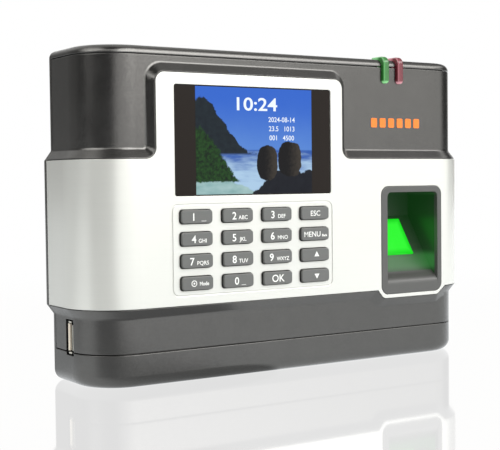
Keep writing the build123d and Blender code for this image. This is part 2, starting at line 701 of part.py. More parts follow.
def on_slope(width, length, front, back):
    """Slab parallel to the sloping floor, from `front` above it to `back` below it."""
    return extrude(glass_plane().offset(front) * Rectangle(width, length), -(front + back))


def well_opening(low):
    """Front view of the finger well's opening, from height `low` up, with rounded top corners."""
    corners = [(WELL_LEFT, WELL_TOP), (WELL_RIGHT, WELL_TOP)]
    face = polygon([(WELL_LEFT, low), (WELL_RIGHT, low), corners[1], corners[0]])
    return round_corners(face, WELL_CORNER, corners)


def ramp_profile():
    """Side view of the finger ramp: flush with the bezel below, curving into the slope."""
    angle = math.radians(SLOPE_ANGLE)
    curve = Spline(
        (-BEZEL_PROUD, RAMP_FLAT_TOP),
        SLOPE_START,
        tangents=((0, 1), (math.sin(angle), math.cos(angle))),
    )
    end = slope_point(SLOPE_START[1], RAMP_THICKNESS)
    under = Polyline(
        SLOPE_START,
        end,
        (BEZEL_DEPTH, RAMP_FLAT_TOP - RAMP_STEP),
        (BEZEL_DEPTH, RAMP_LOW),
        (-BEZEL_PROUD, RAMP_LOW),
        (-BEZEL_PROUD, RAMP_FLAT_TOP),
    )
    return make_face(curve + under)


def sensor_bezel():
    """Grey frame round the finger well, with the ramp that leads a finger in."""
    outer = rounded(BEZEL_CENTRE, BEZEL_WIDTH, BEZEL_HEIGHT, BEZEL_CORNER)
    frame = from_face(outer, -BEZEL_PROUD, BEZEL_DEPTH)
    frame = fillet(frame.edges().group_by(Axis.Y)[0], BEZEL_PROUD)
    frame -= from_face(well_opening(RAMP_LOW), -1, BEZEL_DEPTH + 1)
    return frame + from_side(ramp_profile(), WELL_LEFT, WELL_RIGHT)


def sensor_well():
    """Moulded finger well: collar, sloping floor, side walls, back, roof and screw ears."""
    roof = WELL_TOP + 2.4
    back_outer = WELL_BACK + WELL_FLOOR
    body = from_side(polygon([
        (EAR_FRONT - 1, RAMP_FLAT_TOP + 4),
        slope_point(slope_height(EAR_FRONT) - 4, WELL_FLOOR),
        slope_point(slope_height(WELL_BACK) - 0.8, WELL_FLOOR),
        (back_outer, slope_height(WELL_BACK) - 2),
        (back_outer, roof),
        (EAR_FRONT - 1, roof),
    ]), WELL_LEFT - WELL_WALL, WELL_RIGHT + WELL_WALL)
    collar = rounded(BEZEL_CENTRE, BEZEL_WIDTH, BEZEL_HEIGHT - 0.1, BEZEL_CORNER)
    body += from_face(collar, BEZEL_DEPTH, EAR_FRONT)
    for z in EAR_HEIGHTS:
        ears = rounded((BEZEL_CENTRE[0], z), EAR_LENGTH, 6, 2.5)
        body += from_face(ears, EAR_FRONT, EAR_BACK)
    gap = FIT_GAP
    hollow = from_side(polygon([
        (0, RAMP_FLAT_TOP - RAMP_STEP - gap),
        (BEZEL_DEPTH, RAMP_FLAT_TOP - RAMP_STEP - gap),
        slope_point(SLOPE_START[1], RAMP_THICKNESS + gap),
        SLOPE_START,
        (WELL_BACK, slope_height(WELL_BACK)),
        (WELL_BACK, WELL_TOP),
        (0, WELL_TOP),
    ]), WELL_LEFT, WELL_RIGHT)
    body -= hollow & from_face(well_opening(0), 0, FAR)
    body -= on_slope(GLASS_WIDTH + 0.4, GLASS_LENGTH + 0.4, 1, WELL_FLOOR + 1)
    for x, z in EAR_POSTS:
        body -= peg(x, z, SMALL_SCREW[2] + 0.3, 0, EAR_BACK + 1)
    return body


def sensor_pieces():
    """Bezel, well, lit glass, optical module, its board, plug and cable."""
    glass = on_slope(GLASS_WIDTH, GLASS_LENGTH, GLASS_PROUD, WELL_FLOOR)
    top = glass_plane().offset(GLASS_PROUD)
    lit_edges = [e for e in glass.edges() if abs(top.to_local_coords(e.center()).Z) < 0.01]
    glass = chamfer(lit_edges, 0.3)
    module_front = WELL_FLOOR + 0.05
    board_front = module_front + MODULE[2]
    module = on_slope(MODULE[0], MODULE[1], -module_front, board_front)
    upright = Axis(glass_plane().origin, glass_plane().z_dir)
    module = fillet(module.edges().filter_by(upright), 1.5)
    board = on_slope(SENSOR_BOARD[0], SENSOR_BOARD[1], -board_front, board_front + SENSOR_BOARD[2])
    plug_back = board_front + SENSOR_BOARD[2]
    plug = Pos(-10, 0, 0) * on_slope(6, 8, -plug_back, plug_back + 4)
    height = GLASS_CENTRE_Z - (plug_back + 2) * math.sin(math.radians(SLOPE_ANGLE))
    depth = slope_depth(GLASS_CENTRE_Z) + (plug_back + 2) * math.cos(math.radians(SLOPE_ANGLE))
    start = GLASS_CENTRE_X - 13
    route = FilletPolyline(
        (start, depth, height),
        (start - 3.5, depth, height),
        (BOARD_RIGHT + 3.0, BOARD_FRONT - 2.0, height),
        (BOARD_RIGHT, BOARD_FRONT - 2.0, height),
        radius=2.0,
    )
    section = Plane(origin=route @ 0, z_dir=route % 0) * Circle(1.2)
    return {
        "sensor_bezel": sensor_bezel(),
        "sensor_well": sensor_well(),
        "sensor_window": glass,
        "sensor_module": module,
        "sensor_board": board + plug,
        "sensor_cable": sweep(section, route),
    }


# ---------------------------------------------------------------- light pipes
def is_pipe_rim(edge, front, top):
    """True for the outer edges of a light pipe, round its lower end, up and over the top."""
    for step in range(5):
        point = edge @ (step / 4)
        ahead, above = front + PIPE_ROUND - point.Y, point.Z - top + PIPE_ROUND
        reach = math.hypot(ahead, above) if ahead > 0 and above > 0 else max(ahead, above)
        if abs(reach - PIPE_ROUND) > 0.02:
            return False
    start, middle = edge @ 0, edge @ 0.5
    return math.hypot(start.Y - middle.Y, start.Z - middle.Z) > 0.1


def light_pipe(x):
    """Clear L-shaped light pipe over the top edge, with a tail that reaches its lamp."""
    front, top = DARK_FACE - PIPE_PROUD_FRONT, BODY_HEIGHT + PIPE_PROUD_TOP
    profile = polygon([
        (front, PIPE_LOW),
        (front, top),
        (PIPE_BACK, top),
        (PIPE_BACK, PIPE_UNDER),
        (PIPE_TAIL, PIPE_UNDER),
        (PIPE_TAIL, PIPE_LOW),
    ])
    profile = round_corners(profile, PIPE_ROUND, [(front, top)])
    body = from_side(profile, x - PIPE_WIDTH / 2, x + PIPE_WIDTH / 2)
    body &= from_face(pipe_outline(x, 0), front - 1, PIPE_BACK + 1)
    body = fillet([e for e in body.edges() if is_pipe_rim(e, front, top)], PIPE_EDGE)
    half = PIPE_WIDTH / 2 + PIPE_FLANGE
    flange_front = COVER_BACK + FIT_GAP
    low, high = PIPE_FLANGE_HEIGHTS
    return body + block(x - half, x + half, flange_front, flange_front + PIPE_FLANGE_THICKNESS, low, high)


def lamp_pieces():
    """Two light pipes, their lamps and the small lamp board."""
    width, depth, height = LAMP_BASE
    foot = LED_BOARD_FRONT - depth
    lamps = []
    for x in (PIPE_GREEN_X, PIPE_RED_X):
        base = from_face(Pos(x, LAMP_HEIGHT) * Rectangle(width, height), foot, LED_BOARD_FRONT)
        lamps.append(base + peg(x, LAMP_HEIGHT, LAMP_LENS[0], foot - LAMP_LENS[1], foot))
    centre = ((PIPE_GREEN_X + PIPE_RED_X) / 2, PIPE_LOW - 2.3)
    board = from_face(rounded(centre, *LED_BOARD, 1), LED_BOARD_FRONT, LED_BOARD_BACK)
    for x, z in LED_POSTS:
        board -= peg(x, z, SMALL_SCREW[2] + 0.3, 0, LED_BOARD_BACK + 1)
    return {
        "light_pipe_green": light_pipe(PIPE_GREEN_X),
        "light_pipe_red": light_pipe(PIPE_RED_X),
        "status_leds": group(lamps),
        "led_board": board,
    }


# ---------------------------------------------------------------- USB socket
def usb_pieces():
    """Metal shell, plastic tongue and four spring contacts of the USB socket."""
    y, z = USB_CENTRE
    mouth = -BODY_WIDTH / 2 + USB_SETBACK
    end = mouth + USB_LENGTH
    root = end - USB_TONGUE_ROOT
    depth, height = (size - 2 * USB_SHELL_WALL for size in USB_SHELL)
    inner_corner = USB_SHELL_CORNER - USB_SHELL_WALL + FIT_GAP
    outline = Pos(y, z) * RectangleRounded(*USB_SHELL, USB_SHELL_CORNER)
    bore = Pos(y, z) * RectangleRounded(depth, height, inner_corner)
    shell = from_side(outline, mouth, end) - from_side(bore, mouth - 1, end - USB_BACK)
    tongue = from_side(
        Pos(y + USB_TONGUE_OFFSET, z) * Rectangle(*USB_TONGUE), mouth + USB_TONGUE_SETBACK, root
    )
    plug_end = Pos(y, z) * RectangleRounded(depth - FIT_GAP, height - FIT_GAP, inner_corner)
    tongue += from_side(plug_end, root, end - USB_BACK - FIT_GAP)
    thickness, width = USB_CONTACT
    face = y + USB_TONGUE_OFFSET - USB_TONGUE[0] / 2
    contacts = [
        from_side(
            Pos(face - thickness / 2, z + place) * Rectangle(thickness, width),
            mouth + 2 * USB_TONGUE_SETBACK, root,
        )
        for place in USB_CONTACTS
    ]
    return {"usb_shell": shell, "usb_tongue": tongue, "usb_contacts": group(contacts)}


# ---------------------------------------------------------------- main board
def main_board():
    """Main circuit board with a tab that reaches the USB socket."""
    board = block(BOARD_LEFT, BOARD_RIGHT, BOARD_FRONT, BOARD_BACK, BOARD_LOW, BOARD_TOP)
    board += block(BOARD_TAB_LEFT, BOARD_LEFT, BOARD_FRONT, BOARD_BACK, BOARD_LOW, BOARD_TAB_TOP)
    for x, z in BOARD_POSTS:
        board -= peg(x, z, BOARD_SCREW[2] + 0.3, BOARD_FRONT - 1, BOARD_BACK + 1)
    jack = block(
        JACK_X - JACK_SIZE[0] / 2 - 0.2, JACK_X + JACK_SIZE[0] / 2 + 0.2, BOARD_FRONT - 1, BOARD_BACK + 1,
        CONNECTOR_HEIGHT - JACK_SIZE[1] / 2 - 0.2, CONNECTOR_HEIGHT + JACK_SIZE[1] / 2 + 0.2,
    )
    return board - jack


def on_board(x, z, width, height, thickness):
    """Flat component lying on the front of the main board."""
    return block(
        x - width / 2, x + width / 2, BOARD_FRONT - thickness, BOARD_FRONT, z - height / 2, z + height / 2
    )


def board_pieces():
    """Chips, connectors, capacitors and the clock battery on the main board."""
    chips = [
        on_board(-20, 60, 20, 20, 1.4),
        on_board(8, 66, 12, 9, 1.2),
        on_board(8, 52, 12, 9, 1.2),
        on_board(-52, 30, 9, 9, 1.2),
        on_board(-2, 100, 14, 8, 1.6),
        on_board(-52, 96, 6, 5, 1.4),
    ]
    display_plug = on_board(WINDOW_CENTRE[0], WINDOW_CENTRE[1] - 12, 20, 5, 2.0)
    keypad_plug = on_board(-44, PAD_CENTRE[1] + 6, 15, 5, 2.0)
    sensor_height = GLASS_CENTRE_Z - SENSOR_CABLE_DROP
    sensor_plug = on_board(BOARD_RIGHT - 3.5, sensor_height, 7, 10, 4.0)
    speaker_plug = block(31, 38, BOARD_BACK, BOARD_BACK + 4.5, 96, 104)
    cans = []
    for x, z in ((-66, 56), (-66, 68), (-66, 80), (26, 84)):
        base = on_board(x, z, 8.4, 8.4, 0.8)
        can = peg(x, z, 8.0, BOARD_FRONT - 9.5, BOARD_FRONT - 0.8)
        cans.append(base + fillet(can.edges().group_by(Axis.Y)[0], 0.6))
    cell_y = BOARD_FRONT - 1.4
    x, z = CELL_CENTRE
    holder = peg(x, z, 24, BOARD_FRONT - 3.6, BOARD_FRONT) - peg(x, z, 20.4, BOARD_FRONT - 5, cell_y)
    holder -= block(x - 5, x + 5, BOARD_FRONT - 5, cell_y, z, z + 14)
    cell = peg(x, z, 20.0, cell_y - 3.2, cell_y)
    return {
        "main_board": main_board(),
        "board_chips": group(chips),
        "board_connectors": group([display_plug, keypad_plug, sensor_plug, speaker_plug]),
        "capacitors": group(cans),
        "coin_cell_holder": holder,
        "coin_cell": cell,
    }


# ---------------------------------------------------------------- rear connectors
def connector_body(x, size, y0):
    """Box-shaped connector body standing at the rear window."""
    width, height = size
    return block(
        x - width / 2, x + width / 2, y0, CONNECTOR_END,
        CONNECTOR_HEIGHT - height / 2, CONNECTOR_HEIGHT + height / 2,
    )


def connector_pieces():
    """Network jack, power jack and screw-terminal block, all opening to the rear."""
    z = CONNECTOR_HEIGHT
    mouth = CONNECTOR_END - JACK_MOUTH_DEPTH
    jack = connector_body(JACK_X, JACK_SIZE, BOARD_FRONT - 3.2)
    jack -= block(JACK_X - 5.9, JACK_X + 5.9, mouth, CONNECTOR_END + 1, z - 4.8, z + 3.4)
    jack -= block(JACK_X - 3.0, JACK_X + 3.0, mouth + 3, CONNECTOR_END + 1, z + 3.4, z + 5.6)
    wires = [
        block(
            JACK_X + (step - 3.5) * 1.02 - 0.2, JACK_X + (step - 3.5) * 1.02 + 0.2,
            mouth, CONNECTOR_END - 3, z - 4.8, z - 4.3,
        )
        for step in range(8)
    ]
    power = connector_body(POWER_X, POWER_SIZE, BOARD_BACK)
    bore, depth = POWER_BORE
    power -= peg(POWER_X, z, bore, CONNECTOR_END - depth, CONNECTOR_END + 1)
    pin = peg(POWER_X, z, POWER_PIN, CONNECTOR_END - depth, CONNECTOR_END - 1)
    pin = fillet(pin.edges().group_by(Axis.Y)[-1], 0.8)
    terminal = connector_body(TERMINAL_X, TERMINAL_SIZE, BOARD_BACK)
    heads = []
    for step in range(TERMINAL_COUNT):
        x = TERMINAL_X + (step - (TERMINAL_COUNT - 1) / 2) * TERMINAL_PITCH
        terminal -= block(x - 1.2, x + 1.2, CONNECTOR_END - 6, CONNECTOR_END + 1, z - 3.6, z - 0.6)
        terminal -= peg(x, z + 2.2, 2.6, CONNECTOR_END - 6, CONNECTOR_END + 1)
        head = peg(x, z + 2.2, 2.4, CONNECTOR_END - 5.5, CONNECTOR_END - 0.6)
        heads.append(head - block(x - 1.5, x + 1.5, CONNECTOR_END - 1.2, CONNECTOR_END, z + 1.95, z + 2.45))
    return {
        "ethernet_jack": jack,
        "ethernet_contacts": group(wires),
        "power_jack": power,
        "power_pin": pin,
        "terminal_block": terminal,
        "terminal_screws": group(heads),
    }


# ---------------------------------------------------------------- speaker
def speaker_pieces():
    """Loudspeaker behind the grille, its foam ring and two leads."""
    x, z = SPEAKER_CENTRE
    rear = BACK_INNER - 1.0
    front = rear - SPEAKER_DEPTH
    basket = peg(x, z, SPEAKER_DIAMETER, rear - 1.2, rear)
    basket += peg(x, z, 26, rear - 3.4, rear - 1.2)
    magnet = peg(x, z, 17, front, rear - 3.4)
    speaker = basket + fillet(magnet.edges().group_by(Axis.Y)[0], 0.8)
    cone = Cone(10.5, 5.0, 2.6, align=BASE_DOWN)
    speaker -= Pos(x, rear, z) * Rot(90, 0, 0) * cone
    gasket = peg(x, z, SPEAKER_DIAMETER, rear, BACK_INNER) - peg(x, z, 23, rear - 1, BACK_INNER + 1)
    start = x - 13.0
    lead_y = rear - 2.3
    leads = []
    for drop in (-1.2, 1.2):
        lead = Plane(origin=(BOARD_RIGHT, lead_y, z + drop), z_dir=(1, 0, 0)) * Circle(0.55)
        leads.append(extrude(lead, start - BOARD_RIGHT))
    return {"speaker": speaker, "speaker_gasket": gasket, "speaker_leads": group(leads)}


# ---------------------------------------------------------------- bracket and screws
def wall_bracket():
    """Bent steel wall plate: mounting holes, cable window, two hooks and a lock-screw lip."""
    front = BRACKET_REACH - BRACKET_PLATE
    plate = rounded((0, (BRACKET_LOW + BRACKET_TOP) / 2), BRACKET_WIDTH, BRACKET_TOP - BRACKET_LOW, 4)
    cable_window = rounded((-8, CONNECTOR_HEIGHT), *CABLE_WINDOW, 3)
    body = from_face(plate - cable_window, front, BRACKET_REACH)
    for x in (-1, 1):
        for z in (-1, 1):
            place = (x * BRACKET_SPACING[0] / 2, BRACKET_CENTRE_Z + z * BRACKET_SPACING[1] / 2)
            body -= peg(*place, BRACKET_HOLE, front - 1, BRACKET_REACH + 1)
    arm = HOOK_UPRIGHT
    for x in HOOK_X:
        body -= block(x - 6, x + 6, front - 1, BRACKET_REACH + 1, HOOK_Z - 14, HOOK_Z - BRACKET_PLATE)
        body += block(x - 6, x + 6, arm, BRACKET_REACH, HOOK_Z - BRACKET_PLATE, HOOK_Z)
        body += block(x - 6, x + 6, arm, arm + BRACKET_PLATE, HOOK_Z - BRACKET_PLATE, HOOK_Z + 4.5)
    body += block(-8, 8, LOCK_Y - 3.5, BRACKET_REACH, LOCK_LIP_Z, LOCK_LIP_Z + BRACKET_PLATE)
    return body - Pos(0, LOCK_Y, 0) * Cylinder(LOCK_SCREW[2] / 2 + 0.05, 2 * LOCK_LIP_Z + 8)


def fastener_pieces():
    """All screws, one node for each kind."""
    small = screws_from_back(SMALL_SCREW, PAD_POSTS, PAD_BOARD_BACK)
    small += screws_from_back(SMALL_SCREW, EAR_POSTS, EAR_BACK)
    small += screws_from_back(SMALL_SCREW, LED_POSTS, LED_BOARD_BACK)
    lock = Pos(0, LOCK_Y, LOCK_SEAT) * Rot(180, 0, 0) * screw(LOCK_SCREW)
    return {
        "case_screws": group(screws_from_back(CASE_SCREW, CASE_POSTS, CASE_SCREW_SEAT)),
        "board_screws": group(screws_from_front(BOARD_SCREW, BOARD_POSTS, BOARD_FRONT)),
        "small_screws": group(small),
        "wall_bracket": wall_bracket(),
        "lock_screw": lock,
    }


# ---------------------------------------------------------------- whole unit
CASING = casing_shape()
PIECES = {
    "front_cover": front_cover(),
    "rear_housing": rear_housing(),
    "silver_fascia": silver_fascia(),
    **display_pieces(),
    **keypad_pieces(),
    **sensor_pieces(),
    **lamp_pieces(),
    **usb_pieces(),
    **board_pieces(),
    **connector_pieces(),
    **speaker_pieces(),
    **fastener_pieces(),
}

os.makedirs("parts", exist_ok=True)
for node, piece in PIECES.items():
    export_step(Pos(0, -MID_DEPTH, 0) * piece, f"parts/{node}.step")
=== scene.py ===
"""Fingerprint scanner terminal: finishes, lettering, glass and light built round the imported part."""

import logging
import math
from dataclasses import dataclass, field
from enum import Enum

import bmesh
import bpy
from mathutils import Euler, Matrix, Vector


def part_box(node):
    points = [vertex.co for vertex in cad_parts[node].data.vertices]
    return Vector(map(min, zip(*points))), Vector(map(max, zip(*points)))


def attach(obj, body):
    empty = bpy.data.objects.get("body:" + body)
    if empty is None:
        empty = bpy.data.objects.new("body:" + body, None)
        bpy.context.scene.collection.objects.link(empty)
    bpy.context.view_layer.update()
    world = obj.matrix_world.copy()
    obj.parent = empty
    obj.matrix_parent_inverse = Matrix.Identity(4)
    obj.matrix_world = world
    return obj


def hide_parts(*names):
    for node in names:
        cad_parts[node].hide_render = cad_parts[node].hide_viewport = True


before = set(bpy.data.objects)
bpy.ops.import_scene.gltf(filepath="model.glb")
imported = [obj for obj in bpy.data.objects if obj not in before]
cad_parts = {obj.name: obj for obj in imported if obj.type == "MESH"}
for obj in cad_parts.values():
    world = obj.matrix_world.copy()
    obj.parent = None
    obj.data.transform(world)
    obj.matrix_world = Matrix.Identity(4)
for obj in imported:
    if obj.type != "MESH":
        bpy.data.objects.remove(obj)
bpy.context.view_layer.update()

MM = 0.001
UNIT = "unit"
LOG = logging.getLogger("terminal")
Colour = tuple[float, float, float]
Pair = tuple[float, float]
Socket = bpy.types.NodeSocket
Value = float | Socket


class Facing(Enum):
    """Side of the terminal that a shaped piece looks out of, as the directions of its own axes."""

    FRONT = ((1, 0, 0), (0, 0, 1), (0, -1, 0))
    LEFT = ((0, -1, 0), (0, 0, 1), (-1, 0, 0))

    def at(self, place: Vector) -> Matrix:
        """Matrix that turns a piece to this side and moves it to a place."""
        return Matrix.Translation(place) @ Matrix(self.value).transposed().to_4x4()


class Surface(Enum):
    """Kinds of fine surface that the finishes are made with."""

    MOULDED = "spark-eroded plastic grain"
    FLECK = "metal flakes under lacquer"
    BRUSHED = "straight brushed metal"
    STREAKED = "satin paint with faint level streaks"
    POLISHED = "smooth plated or moulded gloss"
    BOARD = "solder resist over copper tracks"
    SOFT = "rubber or foam skin"


def rgb(red: int, green: int, blue: int) -> Colour:
    """Turn the 0 to 255 values of a colour chart into linear light.

    Args:
        red: Red value.
        green: Green value.
        blue: Blue value.

    Returns:
        The three linear values.
    """
    shares = (value / 255 for value in (red, green, blue))
    return tuple(s / 12.92 if s <= 0.04045 else ((s + 0.055) / 1.055) ** 2.4 for s in shares)


# ------------------------------------------------------------------ node trees
class Graph:
    """Node tree of a material or of the world, with short calls for what the finishes use."""

    def __init__(self, tree: bpy.types.NodeTree) -> None:
        """Empty the tree, ready for new nodes."""
        tree.nodes.clear()
        self.tree = tree

    def node(self, kind: str, sockets: dict | None = None, **settings) -> bpy.types.Node:
        """Add one node.

        Args:
            kind: Blender's name of the node type.
            sockets: Value or source socket for each named or numbered input.
            **settings: Properties of the node itself.

        Returns:
            The new node.
        """
        made = self.tree.nodes.new(kind)
        for name, value in settings.items():
            setattr(made, name, value)
        self.feed(made, sockets or {})
        return made

    def feed(self, node: bpy.types.Node, sockets: dict) -> None:
        """Set or link inputs of a node.

        Args:
            node: Node that is fed.
            sockets: Value or source socket for each named or numbered input. A colour may be three numbers.
        """
        for key, value in sockets.items():
            into = node.inputs[key]
            if isinstance(value, Socket):
                self.tree.links.new(value, into)
            elif into.type == "RGBA" and len(value) == 3:
                into.default_value = (*value, 1)
            else:
                into.default_value = value

    def calc(self, operation: str, first: Value, second: Value = 0.0, third: Value = 0.0) -> Socket:
        """Add a Math node and return its result.

        Args:
            operation: Name of the sum, such as MULTIPLY.
            first: Number or socket.
            second: Number or socket.
            third: Number or socket, where the sum takes three.

        Returns:
            The output socket.
        """
        sockets = {0: first, 1: second, 2: third}
        return self.node("ShaderNodeMath", sockets, operation=operation).outputs[0]

    def vector(self, operation: str, first: Value, second: Colour | Socket = (0.0, 0.0, 0.0)) -> Socket:
        """Add a Vector Math node and return its vector."""
        made = self.node("ShaderNodeVectorMath", {0: first, 1: second}, operation=operation)
        return made.outputs["Value" if operation in ("DOT_PRODUCT", "LENGTH") else "Vector"]

    def blend(self, share: Value, first: Colour | Socket, second: Colour | Socket) -> Socket:
        """Mix two colours.

        Args:
            share: How much of the second colour, number or socket.
            first: First colour or socket.
            second: Second colour or socket.

        Returns:
            The colour socket.
        """
        return self.node("ShaderNodeMix", {0: share, 6: first, 7: second}, data_type="RGBA").outputs[2]

    def span(
        self, value: Socket, low: float, high: float, to_low: float = 0.0, to_high: float = 1.0,
        soft: bool = True,
    ) -> Socket:
        """Map a range to another range.

        Args:
            value: Socket to map.
            low: Start of the source range.
            high: End of the source range.
            to_low: Result at the start.
            to_high: Result at the end.
            soft: True for a smooth step, False for a straight one.

        Returns:
            The mapped socket.
        """
        sockets = {"Value": value, "From Min": low, "From Max": high, "To Min": to_low, "To Max": to_high}
        kind = "SMOOTHSTEP" if soft else "LINEAR"
        return self.node("ShaderNodeMapRange", sockets, interpolation_type=kind, clamp=True).outputs["Result"]

    def coordinates(self) -> Socket:
        """Return the object's own coordinates, which are the terminal's."""
        return self.node("ShaderNodeTexCoord").outputs["Object"]

    def noise(self, where: Socket, size: float, detail: float = 3.0, roughness: float = 0.5) -> Socket:
        """Return soft noise whose lumps are `size` metres across."""
        sockets = {"Vector": where, "Scale": 1 / size, "Detail": detail, "Roughness": roughness}
        return self.node("ShaderNodeTexNoise", sockets).outputs["Fac"]

    def axes(self, where: Socket) -> tuple[Socket, ...]:
        """Split a vector into its three numbers."""
        return tuple(self.node("ShaderNodeSeparateXYZ", {0: where}).outputs)


def new_material(name: str) -> tuple[bpy.types.Material, Graph]:
    """Return an empty material and its node tree."""
    made = bpy.data.materials.new(name)
    made.use_nodes = True
    return made, Graph(made.node_tree)


# ------------------------------------------------------------------ finishes
FLAKE_LEAN = 0.12             # how far a metal flake may lean from the surface, as a share of a unit


@dataclass(frozen=True)
class Finish:
    """One surface finish, with its colour, gloss and fine texture.

    Lengths are in millimetres.
    """

    name: str
    colour: Colour
    roughness: float
    surface: Surface = Surface.MOULDED
    metallic: float = 0.0
    coat: float = 0.0
    coat_roughness: float = 0.12
    feature: float = 0.35
    relief: float = 0.006
    colour_change: float = 0.05
    roughness_change: float = 0.06
    transmission: float = 0.0
    glow: Colour | None = None
    glow_strength: float = 0.0
    specular: float = 0.5
    edge: float = 0.0

    def material(self) -> bpy.types.Material:
        """Return the material, which is made the first time that it is asked for."""
        name = f"finish_{self.name}"
        found = bpy.data.materials.get(name)
        if found is not None:
            return found
        made, graph = new_material(name)
        where = graph.coordinates()
        shader = graph.node("ShaderNodeBsdfPrincipled", {
            "Metallic": self.metallic,
            "Coat Weight": self.coat,
            "Coat Roughness": self.coat_roughness,
            "Transmission Weight": self.transmission,
            "Specular IOR Level": self.specular,
        })
        self.apply_colour(graph, where, shader)
        self.apply_relief(graph, where, shader)
        self.apply_glow(graph, where, shader)
        graph.node("ShaderNodeOutputMaterial", {"Surface": shader.outputs[0]})
        return made

    def shade(self, graph: Graph, where: Socket) -> Socket:
        """Return the share by which the colour is lightened or darkened at each point.

        Args:
            graph: Node tree to add to.
            where: Coordinates socket.

        Returns:
            A socket round 0.5.
        """
        size = self.feature * MM
        if self.surface is Surface.FLECK:
            cells = graph.node("ShaderNodeTexVoronoi", {"Vector": where, "Scale": 1 / size})
            flake = graph.axes(cells.outputs["Color"])[0]
            cloud = graph.noise(where, size * 60, 2.0)
            return graph.calc("MULTIPLY_ADD", flake, 0.75, graph.calc("MULTIPLY", cloud, 0.25))
        if self.surface in (Surface.BRUSHED, Surface.STREAKED):
            return graph.noise(self.drawn_out(graph, where), size, 4.0, 0.7)
        if self.surface is Surface.BOARD:
            tracks = graph.node("ShaderNodeTexBrick", {
                "Vector": graph.vector("MULTIPLY", where, (1.0, 0.0, 1.0)),
                "Scale": 1 / (size * 14),
                "Mortar Size": 0.035,
                "Color1": (0.35, 0.35, 0.35, 1),
                "Color2": (0.45, 0.45, 0.45, 1),
                "Mortar": (0.95, 0.95, 0.95, 1),
            })
            grain = graph.calc("MULTIPLY", graph.noise(where, size), 0.5)
            return graph.calc("MULTIPLY_ADD", tracks.outputs["Fac"], 0.5, grain)
        fine = graph.noise(where, size, 3.0, 0.6)
        broad = graph.noise(where, size * 40, 2.0)
        return graph.calc("MULTIPLY_ADD", fine, 0.6, graph.calc("MULTIPLY", broad, 0.4))

    def drawn_out(self, graph: Graph, where: Socket) -> Socket:
        """Return coordinates that are drawn out along the strokes of a brushed surface."""
        along = (0.03, 1.0, 1.0) if self.surface is Surface.BRUSHED else (0.02, 0.02, 1.0)
        return graph.node("ShaderNodeMapping", {"Vector": where, "Scale": along}).outputs[0]

    def level(self, graph: Graph) -> Socket:
        """Return the direction that the surface faces, turned a little over along its edges.

        Args:
            graph: Node tree to add to.

        Returns:
            The direction socket.
        """
        if self.edge > 0:
            return graph.node("ShaderNodeBevel", {"Radius": self.edge * MM}, samples=6).outputs[0]
        return graph.node("ShaderNodeNewGeometry").outputs["Normal"]

    def apply_colour(self, graph: Graph, where: Socket, shader: bpy.types.Node) -> None:
        """Give the shader its colour and roughness, both varied a little over the surface.

        Args:
            graph: Node tree to add to.
            where: Coordinates socket.
            shader: Shader that is dressed.
        """
        shade = self.shade(graph, where)
        change = self.colour_change
        dark = tuple(c * (1 - change) for c in self.colour)
        light = tuple(min(1.0, c * (1 + change)) for c in self.colour)
        worn = graph.noise(where, self.feature * MM * 90, 4.0, 0.6)
        least, most = self.roughness - self.roughness_change, self.roughness + self.roughness_change
        rough = graph.span(worn, 0.35, 0.65, least, most)
        graph.feed(shader, {"Base Color": graph.blend(shade, dark, light), "Roughness": rough})

    def apply_relief(self, graph: Graph, where: Socket, shader: bpy.types.Node) -> None:
        """Give the shader its fine relief, and turn the flakes of a fleck paint each its own way.

        Args:
            graph: Node tree to add to.
            where: Coordinates socket.
            shader: Shader that is dressed.
        """
        size = self.feature * MM
        if self.surface is Surface.FLECK:
            cells = graph.node("ShaderNodeTexVoronoi", {"Vector": where, "Scale": 1 / size})
            lean = graph.vector("SUBTRACT", cells.outputs["Color"], (0.5, 0.5, 0.5))
            lean = graph.vector("MULTIPLY", lean, (FLAKE_LEAN,) * 3)
            level = self.level(graph)
            tipped = graph.vector("NORMALIZE", graph.vector("ADD", level, lean))
            peel = graph.node("ShaderNodeBump", {
                "Height": graph.noise(where, size * 8, 2.0),
                "Distance": self.relief * MM,
                "Strength": 0.4,
                "Normal": level,
            })
            graph.feed(shader, {"Normal": tipped, "Coat Normal": peel.outputs[0]})
            return
        if self.relief <= 0:
            return
        source = self.drawn_out(graph, where) if self.surface in (Surface.BRUSHED, Surface.STREAKED) else where
        bump = graph.node("ShaderNodeBump", {
            "Height": graph.noise(source, size, 4.0, 0.6),
            "Distance": self.relief * MM,
            "Strength": 0.7,
            "Normal": self.level(graph),
        })
        graph.feed(shader, {"Normal": bump.outputs[0]})

    def apply_glow(self, graph: Graph, where: Socket, shader: bpy.types.Node) -> None:
        """Light the piece from inside where the finish glows.

        Args:
            graph: Node tree to add to.
            where: Coordinates socket, not used here.
            shader: Shader that is dressed.
        """
        if self.glow is not None:
            graph.feed(shader, {"Emission Color": self.glow, "Emission Strength": self.glow_strength})


